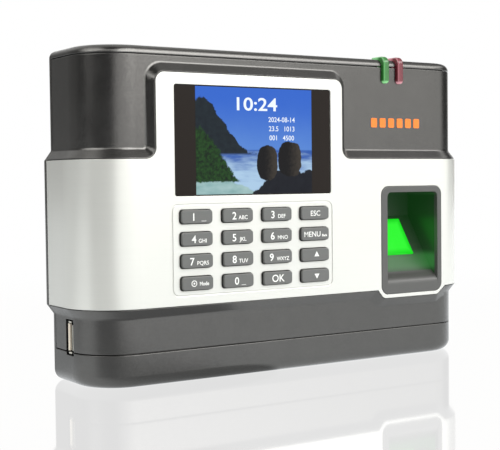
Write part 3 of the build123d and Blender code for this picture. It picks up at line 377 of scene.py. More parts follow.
@dataclass(frozen=True)
class SensorLight(Finish):
    """Sensor glass lit green from behind, paler in the middle and deeper along its edges."""

    middle: tuple[float, float, float] = (0.0, 0.0, 0.0)
    lean: float = 33.5
    half_width: float = 8.2
    half_length: float = 9.6
    throw: float = 1.1

    def apply_glow(self, graph: Graph, where: Socket, shader: bpy.types.Node) -> None:
        """Vary the green light from the middle of the glass to its rim.

        Args:
            graph: Node tree to add to.
            where: Coordinates socket.
            shader: Shader that is dressed.
        """
        centred = graph.vector("SUBTRACT", where, self.middle)
        turned = graph.node("ShaderNodeMapping", {
            "Vector": centred,
            "Rotation": Euler((math.radians(self.lean), 0, 0)),
        })
        x, _, z = graph.axes(turned.outputs[0])
        across = graph.calc("DIVIDE", graph.calc("ABSOLUTE", x), self.half_width * MM)
        along = graph.calc("DIVIDE", graph.calc("ABSOLUTE", z), self.half_length * MM)
        rim = graph.span(graph.calc("MAXIMUM", across, along), 0.62, 0.98)
        glow = graph.blend(rim, rgb(48, 244, 50), rgb(14, 208, 22))
        cloud = graph.noise(where, 3 * MM, 2.0)
        glow = graph.blend(graph.calc("MULTIPLY", cloud, 0.25), glow, rgb(70, 250, 74))
        seen = graph.node("ShaderNodeLightPath").outputs["Is Camera Ray"]
        power = graph.span(seen, 0.0, 1.0, self.glow_strength * self.throw, self.glow_strength, soft=False)
        graph.feed(shader, {"Emission Color": glow, "Emission Strength": power})


@dataclass(frozen=True)
class PaintedSpillGlow(Finish):
    """Dark well plastic with the sensor's green light painted on it as a glow, strongest in front of the glass.
    """

    # heights in mm, the ramp's top and the glass's foot, between which the painted green glow is strongest
    foot: Pair = (39.5, 46.0)

    def apply_glow(self, graph: Graph, where: Socket, shader: bpy.types.Node) -> None:
        """Paint the sensor's green light on as glow, strongest between the ramp and the glass and faint
        elsewhere.

        Args:
            graph: Node tree to add to.
            where: Coordinates socket.
            shader: Shader that is dressed.
        """
        height = graph.axes(where)[2]
        above = graph.span(height, (self.foot[0] - 2) * MM, (self.foot[0] + 2) * MM)
        below = graph.span(height, (self.foot[1] + 3) * MM, (self.foot[1] - 1) * MM)
        # share of the painted green glow: full between the ramp and the glass
        painted_spill_share = graph.calc("MULTIPLY", above, below)
        glow = graph.blend(painted_spill_share, self.glow, rgb(34, 104, 40))
        power = graph.calc("MULTIPLY_ADD", painted_spill_share, 0.55, self.glow_strength)
        graph.feed(shader, {"Emission Color": glow, "Emission Strength": power})


@dataclass(frozen=True)
class PipeFinish(Finish):
    """Clear coloured light pipe with painted highlights, as pale glow, at its lower tip, on its upper leg and
    along one edge.

    The painted highlight streak is its place from the pipe's middle and its half width. The tip and the leg
    are the heights and the depths over which their painted highlights come on.
    """

    coat: float = 0.5
    coat_roughness: float = 0.05
    transmission: float = 0.3
    relief: float = 0.002
    # colour of the painted highlights
    pale: Colour = (1.0, 1.0, 1.0)
    middle: float = 0.0
    streak: Pair = (-1.3, 0.35)
    streak_core: float = 0.05
    streak_painted_highlight: float = 0.27
    tip: Pair = (125.6, 124.6)
    tip_painted_highlight: float = 0.6
    leg: Pair = (-16.0, -13.5)
    leg_painted_highlight: float = 0.36

    def apply_glow(self, graph: Graph, where: Socket, shader: bpy.types.Node) -> None:
        """Paint pale highlights on as glow: a streak along one edge, the lower tip and the upper leg.

        Args:
            graph: Node tree to add to.
            where: Coordinates socket.
            shader: Shader that is dressed.
        """
        x, y, z = graph.axes(where)
        # painted highlight streak along one edge, then the painted highlights on the tip and on the leg
        off = graph.calc("ABSOLUTE", graph.calc("SUBTRACT", x, (self.middle + self.streak[0]) * MM))
        light = graph.span(off, self.streak[1] * MM, self.streak_core * MM, 0.0, self.streak_painted_highlight)
        for axis, reach, strength in ((z, self.tip, self.tip_painted_highlight), (y, self.leg, self.leg_painted_highlight)):
            light = graph.calc("MAXIMUM", light, graph.span(axis, reach[0] * MM, reach[1] * MM, 0.0, strength))
        graph.feed(shader, {"Emission Color": self.pale, "Emission Strength": light})


@dataclass(frozen=True)
class Canvas:
    """Node tree and coordinates of a picture, with the shares of its width and height."""

    graph: Graph
    where: Socket
    u: Socket
    v: Socket

    def stretched(self, across: float) -> Socket:
        """Return coordinates for ripples that are drawn out across the picture."""
        return self.graph.vector("MULTIPLY", self.where, (across, 1, 1))

    def lay(self, crest: Socket, edge: Pair, under: Socket, over: Socket) -> Socket:
        """Lay one layer of the picture below a crest line.

        Args:
            crest: Height of the line, as a share of the picture.
            edge: Start and end of the soft edge below the line.
            under: Picture so far.
            over: Colour of the layer.

        Returns:
            The picture with the layer on it.
        """
        depth = self.graph.calc("SUBTRACT", crest, self.v)
        return self.graph.blend(self.graph.span(depth, *edge), under, over)


@dataclass(frozen=True)
class Landscape:
    """Plain seaside picture for the display: sky, headland, sea, sand and two boulders.

    Each layer takes the canvas and the picture so far, and returns the picture with the layer on it.
    A boulder is its middle and its half sizes, as shares of the picture.
    """

    name: str
    low: Pair
    high: Pair
    strength: float = 1.0
    line_pitch: float = 0.45
    boulders: tuple[tuple[Pair, Pair], ...] = (((0.60, 0.29), (0.09, 0.17)), ((0.80, 0.33), (0.105, 0.17)))

    def material(self) -> bpy.types.Material:
        """Return the lit picture as a material."""
        made, graph = new_material(self.name)
        where = graph.coordinates()
        x, _, z = graph.axes(where)
        u = graph.span(x, self.low[0], self.high[0], soft=False)
        v = graph.span(z, self.low[1], self.high[1], soft=False)
        canvas = Canvas(graph, where, u, v)
        picture = self.sky(canvas)
        for layer in (self.sea, self.headland, self.beach, self.bush, self.reef):
            picture = layer(canvas, picture)
        for middle, size in self.boulders:
            picture = self.boulder(canvas, picture, middle, size)
        shader = graph.node("ShaderNodeBsdfPrincipled", {
            "Base Color": (0.004, 0.004, 0.005, 1),
            "Roughness": 0.12,
            "Specular IOR Level": 0.12,
            "Emission Color": picture,
            "Emission Strength": self.strength,
        })
        graph.node("ShaderNodeOutputMaterial", {"Surface": shader.outputs[0]})
        return made

    def sky(self, on: Canvas) -> Socket:
        """Return the sky, deeper blue towards the top, with the panel's fine lines."""
        graph = on.graph
        haze = graph.noise(on.where, 14 * MM, 3.0)
        height = graph.calc("MULTIPLY_ADD", haze, 0.2, graph.calc("SUBTRACT", on.v, 0.1))
        plain = graph.blend(graph.span(height, 0.25, 0.95), rgb(96, 146, 224), rgb(52, 108, 214))
        turns = graph.calc("MULTIPLY", graph.axes(on.where)[2], 2 * math.pi / (self.line_pitch * MM))
        lines = graph.calc("MULTIPLY_ADD", graph.calc("SINE", turns), 0.05, 0.06)
        return graph.blend(lines, plain, rgb(16, 34, 120))

    def sea(self, on: Canvas, under: Socket) -> Socket:
        """Lay the sea over the lower part."""
        graph = on.graph
        waves = graph.noise(on.stretched(0.2), 1.6 * MM, 4.0)
        depth = graph.calc("MULTIPLY_ADD", waves, 0.8, graph.span(on.v, 0.42, 0.18, -0.25, 0.35, soft=False))
        water = graph.blend(graph.span(depth, 0.1, 0.8), rgb(48, 92, 176), rgb(176, 208, 236))
        return graph.blend(graph.span(on.v, 0.425, 0.405), under, water)

    def headland(self, on: Canvas, under: Socket) -> Socket:
        """Lay the dark headland that falls from the upper left to the sea."""
        graph = on.graph
        ragged = graph.noise(on.where, 5 * MM, 5.0, 0.6)
        fall = graph.span(on.u, 0.02, 0.50, 0.90, 0.36)
        crest = graph.calc("MULTIPLY_ADD", ragged, 0.22, graph.calc("SUBTRACT", fall, 0.11))
        rock = graph.blend(graph.noise(on.where, 2.2 * MM, 5.0), rgb(5, 14, 26), rgb(32, 46, 52))
        land = on.lay(crest, (-0.012, 0.012), under, rock)
        return graph.blend(graph.span(on.v, 0.36, 0.39), under, land)

    def beach(self, on: Canvas, under: Socket) -> Socket:
        """Lay the pale sand along the lower left."""
        graph = on.graph
        wet = graph.noise(on.stretched(0.4), 2.5 * MM, 3.0)
        edge = graph.calc("MULTIPLY_ADD", wet, 0.10, graph.span(on.u, 0.10, 0.56, 0.16, -0.04))
        sand = graph.blend(wet, rgb(112, 160, 160), rgb(186, 214, 214))
        return on.lay(edge, (-0.01, 0.02), under, sand)

    def bush(self, on: Canvas, under: Socket) -> Socket:
        """Lay the green slope at the left edge."""
        graph = on.graph
        leaf = graph.noise(on.where, 1.5 * MM, 5.0, 0.7)
        crest = graph.calc("MULTIPLY_ADD", leaf, 0.16, graph.span(on.u, 0.0, 0.46, 0.54, -0.04))
        green = graph.blend(graph.span(leaf, 0.3, 0.7), rgb(3, 22, 8), rgb(34, 78, 26))
        foot = graph.span(graph.calc("MULTIPLY_ADD", leaf, 0.06, on.v), 0.135, 0.155)
        return graph.blend(foot, under, on.lay(crest, (-0.02, 0.02), under, green))

    def reef(self, on: Canvas, under: Socket) -> Socket:
        """Lay the flat dark rocks that the boulders stand on, along the lower right."""
        graph = on.graph
        rough = graph.noise(on.where, 3 * MM, 4.0)
        crest = graph.calc("MULTIPLY_ADD", rough, 0.14, graph.span(on.u, 0.40, 0.70, -0.12, 0.14))
        stone = graph.blend(rough, rgb(7, 10, 20), rgb(26, 30, 38))
        return on.lay(crest, (-0.01, 0.01), under, stone)

    def boulder(self, on: Canvas, under: Socket, middle: Pair, size: Pair) -> Socket:
        """Lay one dark boulder.

        Args:
            on: Canvas.
            under: Picture so far.
            middle: Middle of the boulder as shares of the picture.
            size: Half width and half height as shares of the picture.

        Returns:
            The picture with the boulder on it.
        """
        graph = on.graph
        du, dv = (
            graph.calc("DIVIDE", graph.calc("SUBTRACT", share, centre), half)
            for share, centre, half in zip((on.u, on.v), middle, size)
        )
        powers = [graph.calc("POWER", graph.calc("ABSOLUTE", off), 2.6) for off in (du, dv)]
        reach = graph.calc("MULTIPLY_ADD", graph.noise(on.where, 4 * MM, 3.0), 0.9, graph.calc("ADD", *powers))
        grain = graph.noise(on.where, 1.4 * MM, 4.0)
        side = graph.calc("MULTIPLY_ADD", grain, 0.5, graph.calc("MULTIPLY", du, 0.5))
        stone = graph.blend(graph.span(side, 0.1, 0.75), rgb(10, 9, 8), rgb(60, 54, 46))
        return graph.blend(graph.span(reach, 1.5, 1.35), under, stone)


class Finishes:
    """Every finish of the terminal, by the record's slots, and by node where a node has its own."""

    DARK_PAINT = Finish(
        "dark_metallic_paint", rgb(98, 97, 95), 0.22, Surface.FLECK, metallic=0.95, coat=0.15,
        feature=0.14, relief=0.002, colour_change=0.22, roughness_change=0.02, edge=0.45,
    )
    SILVER_PAINT = Finish(
        "silver_paint", rgb(226, 226, 220), 0.24, Surface.STREAKED, metallic=0.5, coat=0.1,
        feature=0.5, relief=0.002, colour_change=0.03, roughness_change=0.03, edge=0.35,
    )
    KEY_PLASTIC = Finish("key_grey", rgb(97, 98, 96), 0.40, coat=0.1, feature=0.25, colour_change=0.07)
    # key grey darkened as painted shade, for the sides and flange of every key
    KEY_SKIRT_PAINTED_SHADE = Finish("key_skirt_painted_shade", rgb(38, 38, 38), 0.42, feature=0.25, colour_change=0.08)
    GREY_PLASTIC = Finish(
        "bezel_grey", rgb(79, 79, 77), 0.38, coat=0.12, feature=0.3, colour_change=0.06, edge=0.3,
    )
    # dark well plastic with the sensor's green light painted on it as a faint glow
    WELL_PLASTIC_PAINTED_GLOW = PaintedSpillGlow(
        "well_black_painted_glow", rgb(44, 46, 44), 0.34, coat=0.1, feature=0.3, colour_change=0.08, glow=rgb(0, 70, 6),
        glow_strength=0.38,
    )
    # near-black standing in for the shade inside the USB socket: painted shade
    SOCKET_PAINTED_SHADE = Finish("socket_painted_shade", rgb(12, 12, 12), 0.5, feature=0.25, specular=0.2)
    TONGUE_CREAM = Finish("tongue_cream", rgb(236, 224, 204), 0.4, feature=0.25)
    LEGEND_INK = Finish("legend_ink", rgb(235, 236, 232), 0.5, feature=0.15, colour_change=0.05)
    MARK_ORANGE = Finish("mark_orange", rgb(250, 124, 24), 0.38, coat=0.2, feature=0.2, colour_change=0.06)
    DISPLAY_GLASS = Finish(
        "display_black_glass", rgb(34, 29, 26), 0.10, Surface.POLISHED, specular=0.12,
        feature=0.4, relief=0.0, colour_change=0.05, roughness_change=0.02,
    )
    CLOCK_LIGHT = Finish(
        "clock_light", rgb(30, 40, 60), 0.3, feature=0.2, relief=0.0, glow=rgb(236, 244, 250),
        glow_strength=1.0,
    )
    BY_SLOT: dict[str, Finish] = {
        "dark_paint": DARK_PAINT,
        "silver_paint": SILVER_PAINT,
        "key_plastic": KEY_PLASTIC,
        "grey_plastic": GREY_PLASTIC,
        "well_plastic": WELL_PLASTIC_PAINTED_GLOW,
        "clear_window": DISPLAY_GLASS,
        "display_glass": Finish("display_panel", rgb(30, 32, 40), 0.15, Surface.POLISHED, coat=0.6, relief=0.0),
        "white_plastic": Finish("white_nylon", rgb(222, 220, 212), 0.45, feature=0.3),
        "black_plastic": Finish("black_nylon", rgb(32, 32, 33), 0.45, feature=0.3, colour_change=0.12),
        "amber_film": Finish(
            "amber_film", rgb(190, 120, 40), 0.30, Surface.POLISHED, coat=0.5, relief=0.0, colour_change=0.10,
        ),
        "circuit_board": Finish(
            "board_green", rgb(24, 88, 50), 0.40, Surface.BOARD, coat=0.3, feature=0.3, colour_change=0.45,
        ),
        "cable_rubber": Finish("cable_rubber", rgb(40, 40, 42), 0.55, Surface.SOFT, feature=0.4),
        # the pale colours of the pipes are their painted highlights
        "green_pipe": PipeFinish(
            "green_light_pipe", rgb(52, 124, 54), 0.14, Surface.POLISHED, pale=rgb(176, 255, 180), middle=47.8,
        ),
        "red_pipe": PipeFinish(
            "red_light_pipe", rgb(120, 42, 54), 0.14, Surface.POLISHED, pale=rgb(255, 190, 200), middle=56.05,
        ),
        "lamp_resin": Finish("lamp_resin", rgb(228, 226, 214), 0.18, Surface.POLISHED, coat=0.5, relief=0.0),
        "plated_steel": Finish(
            "nickel_plate", rgb(222, 219, 208), 0.28, Surface.POLISHED, metallic=0.8, feature=0.3, relief=0.002,
            colour_change=0.06,
        ),
        "contact_metal": Finish(
            "gold_contact", rgb(214, 176, 92), 0.25, Surface.BRUSHED, metallic=1.0, feature=0.1, relief=0.002,
        ),
        "chip_black": Finish(
            "chip_resin", rgb(28, 28, 30), 0.55, feature=0.12, relief=0.008, colour_change=0.15,
        ),
        "can_aluminium": Finish(
            "can_aluminium", rgb(196, 197, 199), 0.30, Surface.BRUSHED, metallic=1.0, feature=0.15,
        ),
        "green_plastic": Finish("terminal_green", rgb(52, 128, 72), 0.45, feature=0.3),
        "speaker_black": Finish(
            "speaker_black", rgb(36, 36, 38), 0.60, Surface.SOFT, feature=0.3, relief=0.015,
        ),
        "foam_rubber": Finish(
            "foam_rubber", rgb(48, 48, 50), 0.85, Surface.SOFT, feature=0.6, relief=0.05, colour_change=0.2,
        ),
        "bracket_steel": Finish(
            "bracket_steel", rgb(150, 151, 153), 0.38, Surface.BRUSHED, metallic=1.0, feature=0.18,
            relief=0.004, colour_change=0.10,
        ),
        "silicone": Finish("silicone_grey", rgb(150, 150, 148), 0.6, Surface.SOFT, feature=0.4),
        "lit_glass": Finish("spare_lit_glass", rgb(40, 120, 44), 0.1, Surface.POLISHED, relief=0.0),
    }
    # the USB shell and tongue are darkened as painted shade in the socket's cavity
    BY_NODE: dict[str, Finish] = {
        "usb_shell": Finish("usb_shell_painted_shade", rgb(34, 33, 32), 0.3, Surface.POLISHED, metallic=0.6, specular=0.3),
        "usb_tongue": SOCKET_PAINTED_SHADE,
    }


# ------------------------------------------------------------------ shaping
CAP_SHARE = 0.72              # height of a capital letter in a type size of 1
CRISP_TURN = 32.0             # edges that turn by more than this many degrees stay crisp


@dataclass(frozen=True)
class Mark:
    """One line of lettering, in millimetres from the middle of what it is on."""

    text: str
    x: float = 0.0
    cap: float = 1.65
    baseline: float = -1.55
    width: float = 0.0
    weight: float = 0.02


class Shaper:
    """A mesh in work: flat outlines are drawn, given depth and eased with bmesh operators.

    Sizes are in millimetres until the piece is placed.
    """

    def __init__(self, mesh: bmesh.types.BMesh | None = None) -> None:
        """Start with an empty mesh, or with one that is given."""
        self.bm = mesh or bmesh.new()

    def outline(
        self, width: float, height: float, corner: float, centre: Pair = (0.0, 0.0), steps: int = 6,
    ) -> list:
        """Draw a flat rectangle with rounded corners.

        Args:
            width: Width across.
            height: Height.
            corner: Corner radius.
            centre: Middle of the rectangle.
            steps: Segments in each corner.

        Returns:
            The new faces.
        """
        before = set(self.bm.faces)
        verts = bmesh.ops.create_grid(self.bm, x_segments=1, y_segments=1, size=0.5)["verts"]
        bmesh.ops.scale(self.bm, vec=(width, height, 1), verts=verts)
        bmesh.ops.translate(self.bm, vec=(*centre, 0), verts=verts)
        if corner > 0:
            bmesh.ops.bevel(
                self.bm, geom=verts, offset=corner, segments=steps, profile=0.5, affect="VERTICES", material=-1,
            )
        return [f for f in self.bm.faces if f not in before]

    def disc(self, diameter: float, centre: Pair = (0.0, 0.0), steps: int = 32) -> list:
        """Draw a flat disc, or a polygon when there are few steps."""
        before = set(self.bm.faces)
        place = Matrix.Translation((*centre, 0))
        bmesh.ops.create_circle(self.bm, cap_ends=True, segments=steps, radius=diameter / 2, matrix=place)
        return [f for f in self.bm.faces if f not in before]

    def hoop(self, outer: float, inner: float, centre: Pair = (0.0, 0.0), steps: int = 32) -> list:
        """Draw a flat ring.

        Args:
            outer: Outer diameter.
            inner: Inner diameter.
            centre: Middle of the ring.
            steps: Segments round it.

        Returns:
            The new faces.
        """
        place = Matrix.Translation((*centre, 0))
        before = set(self.bm.edges)
        for diameter in (outer, inner):
            bmesh.ops.create_circle(self.bm, cap_ends=False, segments=steps, radius=diameter / 2, matrix=place)
        loops = [e for e in self.bm.edges if e not in before]
        return bmesh.ops.bridge_loops(self.bm, edges=loops)["faces"]

    def raise_faces(self, faces: list, depth: float) -> list:
        """Give flat faces depth towards +Z.

        Args:
            faces: Faces to raise.
            depth: How far.

        Returns:
            The raised faces.
        """
        grown = bmesh.ops.extrude_face_region(self.bm, geom=faces)["geom"]
        moved = [item for item in grown if isinstance(item, bmesh.types.BMVert)]
        bmesh.ops.translate(self.bm, vec=(0, 0, depth), verts=moved)
        return [item for item in grown if isinstance(item, bmesh.types.BMFace)]

    def ease(self, faces: list, radius: float, steps: int) -> None:
        """Round off the edges that border a group of faces.

        Args:
            faces: Faces in the group.
            radius: Radius of the rounding.
            steps: Segments across it.
        """
        chosen = set(faces)
        edges = [e for f in faces for e in f.edges if sum(1 for other in e.link_faces if other in chosen) == 1]
        bmesh.ops.bevel(
            self.bm, geom=edges, offset=radius, segments=steps, profile=0.5, affect="EDGES", material=-1,
            clamp_overlap=True,
        )

    def block(
        self, size: Pair, corner: float, depth: float, centre: Pair = (0.0, 0.0), steps: int = 6,
        edge: float = 0.0, edge_steps: int = 2,
    ) -> None:
        """Make a block with rounded corners.

        Args:
            size: Width and height.
            corner: Corner radius.
            depth: How far it stands towards +Z.
            centre: Middle of its base.
            steps: Segments in each corner.
            edge: Radius of the rounding round its top, 0 for none.
            edge_steps: Segments across that rounding.
        """
        top = self.raise_faces(self.outline(*size, corner, centre, steps), depth)
        if edge > 0:
            self.ease(top, edge, edge_steps)

    def add_lettering(self, mark: Mark, thickness: float) -> None:
        """Add raised lettering.

        Args:
            mark: What it says, and its size and place.
            thickness: How far it stands out.
        """
        curve = bpy.data.curves.new("lettering", "FONT")
        curve.body = mark.text
        curve.size = mark.cap / CAP_SHARE
        curve.align_x = "CENTER"
        curve.offset = mark.weight
        curve.resolution_u = 4
        holder = bpy.data.objects.new("lettering", curve)
        bpy.context.scene.collection.objects.link(holder)
        bpy.context.view_layer.update()
        flat = bpy.data.meshes.new_from_object(holder.evaluated_get(bpy.context.evaluated_depsgraph_get()))
        bpy.data.objects.remove(holder)
        letters = bmesh.new()
        letters.from_mesh(flat)
        bpy.data.meshes.remove(flat)
        bmesh.ops.remove_doubles(letters, verts=letters.verts, dist=1e-4)
        reach = [v.co.x for v in letters.verts]
        wide = mark.width / (max(reach) - min(reach)) if mark.width else 1.0
        middle = (max(reach) + min(reach)) / 2
        bmesh.ops.translate(letters, vec=(-middle, 0, 0), verts=letters.verts)
        bmesh.ops.scale(letters, vec=(wide, 1, 1), verts=letters.verts)
        bmesh.ops.translate(letters, vec=(mark.x, mark.baseline, 0), verts=letters.verts)
        solid = Shaper(letters)
        solid.raise_faces(letters.faces[:], thickness)
        raised = bpy.data.meshes.new("lettering")
        letters.to_mesh(raised)
        letters.free()
        self.bm.from_mesh(raised)
        bpy.data.meshes.remove(raised)

    def piece(
        self, name: str, place: Matrix, finish: Finish | Landscape, body: str = UNIT,
        stands_for: tuple[str, ...] = (),
    ) -> None:
        """Turn the mesh into a finished piece of the terminal.

        Args:
            name: Name of the piece.
            place: Where it goes, in metres.
            finish: What it is dressed with.
            body: Body of the model that it moves with.
            stands_for: Nodes of the model that it replaces.
        """
        bm = self.bm
        bmesh.ops.recalc_face_normals(bm, faces=bm.faces)
        bmesh.ops.transform(bm, matrix=place @ Matrix.Scale(MM, 4), verts=bm.verts)
        for face in bm.faces:
            face.smooth = True
        for edge in bm.edges:
            if len(edge.link_faces) == 2:
                edge.smooth = edge.calc_face_angle(0.0) < math.radians(CRISP_TURN)
        mesh = bpy.data.meshes.new(name)
        bm.to_mesh(mesh)
        bm.free()
        made = bpy.data.objects.new(name, mesh)
        bpy.context.scene.collection.objects.link(made)
        mesh.materials.append(finish.material())
        levelled = made.modifiers.new("even shading", "WEIGHTED_NORMAL")
        levelled.keep_sharp = True
        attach(made, body)
        if stands_for:
            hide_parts(*stands_for)
        LOG.info("%s: %d faces, on %s", name, len(mesh.polygons), body)


def place_on(node: str, across: float = 0.5, back: float = 0.5, up: float = 0.5) -> Vector:
    """Return a place in a node's box.

    Args:
        node: Name of the node.
        across: Share of the box's width, from its left.
        back: Share of its depth, from its front.
        up: Share of its height, from its foot.

    Returns:
        The place, in metres.
    """
    low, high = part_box(node)
    return Vector(start + (end - start) * share for start, end, share in zip(low, high, (across, back, up)))


# ------------------------------------------------------------------ studio
@dataclass(frozen=True)
class Card:
    """One soft patch of light in the studio.

    Azimuth 0 is in front of the terminal and 90 on its left, and the widths are angles, in degrees.
    """

    azimuth: float
    height: float
    inner: float
    outer: float
    strength: float

    def direction(self) -> Vector:
        """Return the direction of the patch's middle."""
        turn, up = math.radians(self.azimuth), math.radians(self.height)
        return Vector((-math.sin(turn) * math.cos(up), -math.cos(turn) * math.cos(up), math.sin(up)))

    def spot(self, graph: Graph, way: Socket, outside: float) -> Socket:
        """Return a value that is the card's strength in the patch.

        Args:
            graph: Node tree to add to.
            way: Direction that is looked in.
            outside: Value away from the patch.

        Returns:
            The value socket.
        """
        facing = graph.vector("DOT_PRODUCT", way, tuple(self.direction()))
        inner, outer = (math.cos(math.radians(angle)) for angle in (self.inner, self.outer))
        return graph.span(facing, outer, inner, outside, self.strength)


@dataclass
class Studio:
    """Pale sweep, glossy table and soft light round the terminal.

    The band is the heights, in degrees, where the strip above starts, is full, fades and ends. The
    table throws less light where it is dimmed.
    """

    fill: float = 0.06
    background: float = 1.0
    light_tint: tuple[float, ...] = (1.0, 0.995, 0.98, 1.0)
    band: tuple[float, ...] = (20.0, 27.0, 33.0, 40.0)
    band_strength: float = 1.8
    table_size: float = 6.0
    table_drop: float = 0.02
    table_gloss: float = 0.27
    table_roughness: float = 0.05
    gloss_reach: Pair = (0.22, 0.6)
    table_bounce: float = 1.08
    bounce_tint: tuple[float, ...] = (0.95, 0.98, 1.0, 1.0)
    dimmed: tuple[Card, ...] = (Card(57, 0, 11.5, 29.5, 0.45), Card(150, 0, 30, 52, 0.68))
    cards: tuple[Card, ...] = (
        Card(-147, 5, 18, 36, 0.9),
        Card(-26, 4, 38, 56, 1.22),
        Card(-20, 32, 14, 30, 3.0),
        Card(-64, 56, 20, 40, 0.45),
        Card(85, 38, 15, 32, 1.9),
        Card(150, 6, 20, 45, 0.18),
        Card(180, 60, 20, 45, 0.8),
    )

    def build(self) -> None:
        """Set the colour handling and build the world and the table."""
        view = bpy.context.scene.view_settings
        view.view_transform = "Standard"
        view.look = "None"
        self.light_world()
        self.lay_table()

    def light_world(self) -> None:
        """Make the soft light that surrounds the terminal."""
        world = bpy.data.worlds.new("studio")
        world.use_nodes = True
        bpy.context.scene.world = world
        graph = Graph(world.node_tree)
        way = graph.vector("NORMALIZE", graph.node("ShaderNodeTexCoord").outputs["Generated"])
        light = self.fill
        for card in self.cards:
            light = graph.calc("ADD", light, card.spot(graph, way, 0.0))
        light = graph.calc("ADD", light, self.overhead_band(graph, way))
        seen = graph.node("ShaderNodeLightPath").outputs["Is Camera Ray"]
        soft = graph.node("ShaderNodeBackground", {"Color": self.light_tint, "Strength": light})
        plain = graph.node("ShaderNodeBackground", {"Color": (1, 1, 1, 1), "Strength": self.background})
        both = graph.node("ShaderNodeMixShader", {0: seen, 1: soft.outputs[0], 2: plain.outputs[0]})
        graph.node("ShaderNodeOutputWorld", {"Surface": both.outputs[0]})

    def overhead_band(self, graph: Graph, way: Socket) -> Socket:
        """Return the light of the long strip above and in front, which draws lines along rolled edges.

        Args:
            graph: Node tree to add to.
            way: Direction that is looked in.

        Returns:
            The strength socket.
        """
        _, ahead, up = graph.axes(way)
        start, full, fading, end = (math.sin(math.radians(angle)) for angle in self.band)
        rising = graph.span(up, start, full, 0.0, self.band_strength)
        in_front = graph.span(ahead, 0.2, -0.1)
        return graph.calc("MULTIPLY", graph.calc("MULTIPLY", rising, graph.span(up, end, fading)), in_front)

    def lay_table(self) -> None:
        """Lay the white glossy table top under the terminal."""
        bm = bmesh.new()
        bmesh.ops.create_grid(bm, x_segments=8, y_segments=8, size=self.table_size / 2)
        bmesh.ops.translate(bm, vec=(0, 0, -self.table_drop * MM), verts=bm.verts)
        mesh = bpy.data.meshes.new("table_top")
        bm.to_mesh(mesh)
        bm.free()
        table = bpy.data.objects.new("table_top", mesh)
        bpy.context.scene.collection.objects.link(table)
        mesh.materials.append(self.table_material())
        LOG.info("table top laid")

    def table_material(self) -> bpy.types.Material:
        """Return the table's white gloss, which fades out away from the terminal."""
        made, graph = new_material("white_table_gloss")
        where = graph.coordinates()
        away = graph.vector("LENGTH", where)
        gloss = graph.span(away, *self.gloss_reach, self.table_gloss, 0.0)
        white = graph.node("ShaderNodeEmission", {"Color": (1, 1, 1, 1), "Strength": 1.0})
        mirror = graph.node("ShaderNodeBsdfGlossy", {"Color": (1, 1, 1, 1), "Roughness": self.table_roughness})
        top = graph.node("ShaderNodeMixShader", {0: gloss, 1: white.outputs[0], 2: mirror.outputs[0]})
        way = graph.vector("NORMALIZE", where)
        power = self.table_bounce
        for side in self.dimmed:
            power = graph.calc("MULTIPLY", power, side.spot(graph, way, 1.0))
        bounce = graph.node("ShaderNodeEmission", {"Color": self.bounce_tint, "Strength": power})
        seen = graph.node("ShaderNodeLightPath").outputs["Is Camera Ray"]
        both = graph.node("ShaderNodeMixShader", {0: seen, 1: bounce.outputs[0], 2: top.outputs[0]})
        graph.node("ShaderNodeOutputMaterial", {"Surface": both.outputs[0]})
        return made


@dataclass
class ViewPoint:
    """Camera at the left front of the terminal."""

    place: tuple[float, float, float] = (-0.28254, -0.41589, 0.08206)
    azimuth: float = 32.87
    elevation: float = -2.32
    roll: float = -0.63
    lens: float = 82.08
    sensor: float = 36.0
    clip: Pair = (0.01, 50.0)

    def build(self) -> None:
        """Make the camera and look through it."""
        data = bpy.data.cameras.new("viewpoint")
        data.lens = self.lens
        data.sensor_width = self.sensor
        data.clip_start, data.clip_end = self.clip
        camera = bpy.data.objects.new("viewpoint", data)
        bpy.context.scene.collection.objects.link(camera)
        turn, up = math.radians(self.azimuth), math.radians(self.elevation)
        ahead = Vector((math.sin(turn) * math.cos(up), math.cos(turn) * math.cos(up), math.sin(up)))
        level = ahead.to_track_quat("-Z", "Y").to_matrix().to_4x4()
        tilt = Matrix.Rotation(math.radians(self.roll), 4, "Z")
        camera.matrix_world = Matrix.Translation(self.place) @ level @ tilt
        bpy.context.scene.camera = camera
        LOG.info("camera placed")


# ------------------------------------------------------------------ terminal
@dataclass
class Casing:
    """Painted casing, silver face and everything that keeps the model's own shape."""

    def build(self) -> None:
        """Dress every node of the model with the finish of its slot."""
        for name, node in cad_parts.items():
            slot = node.data.materials[0].name
            finish = Finishes.BY_NODE.get(name, Finishes.BY_SLOT[slot])
            for holder in node.material_slots:
                holder.material = finish.material()
            LOG.info("%s dressed as %s", name, finish.name)


@dataclass
class AccentMark:
    """Small orange mark on the upper right of the casing: a row of six plain rounded blocks."""

    left: float = 41.6
    pitch: float = 4.95
    middle: float = 106.5
    count: int = 6
    width: float = 3.4
    height: float = 4.2
    corner: float = 0.6
    thickness: float = 0.15
    edge: float = 0.06

    def build(self) -> None:
        """Make the blocks on the dark face."""
        shaper = Shaper()
        for step in range(self.count):
            centre = (self.left + step * self.pitch, self.middle)
            shaper.block((self.width, self.height), self.corner, self.thickness, centre, 4, self.edge)
        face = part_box("rear_housing")[0].y
        shaper.piece("accent_mark", Facing.FRONT.at(Vector((0, face, 0))), Finishes.MARK_ORANGE)


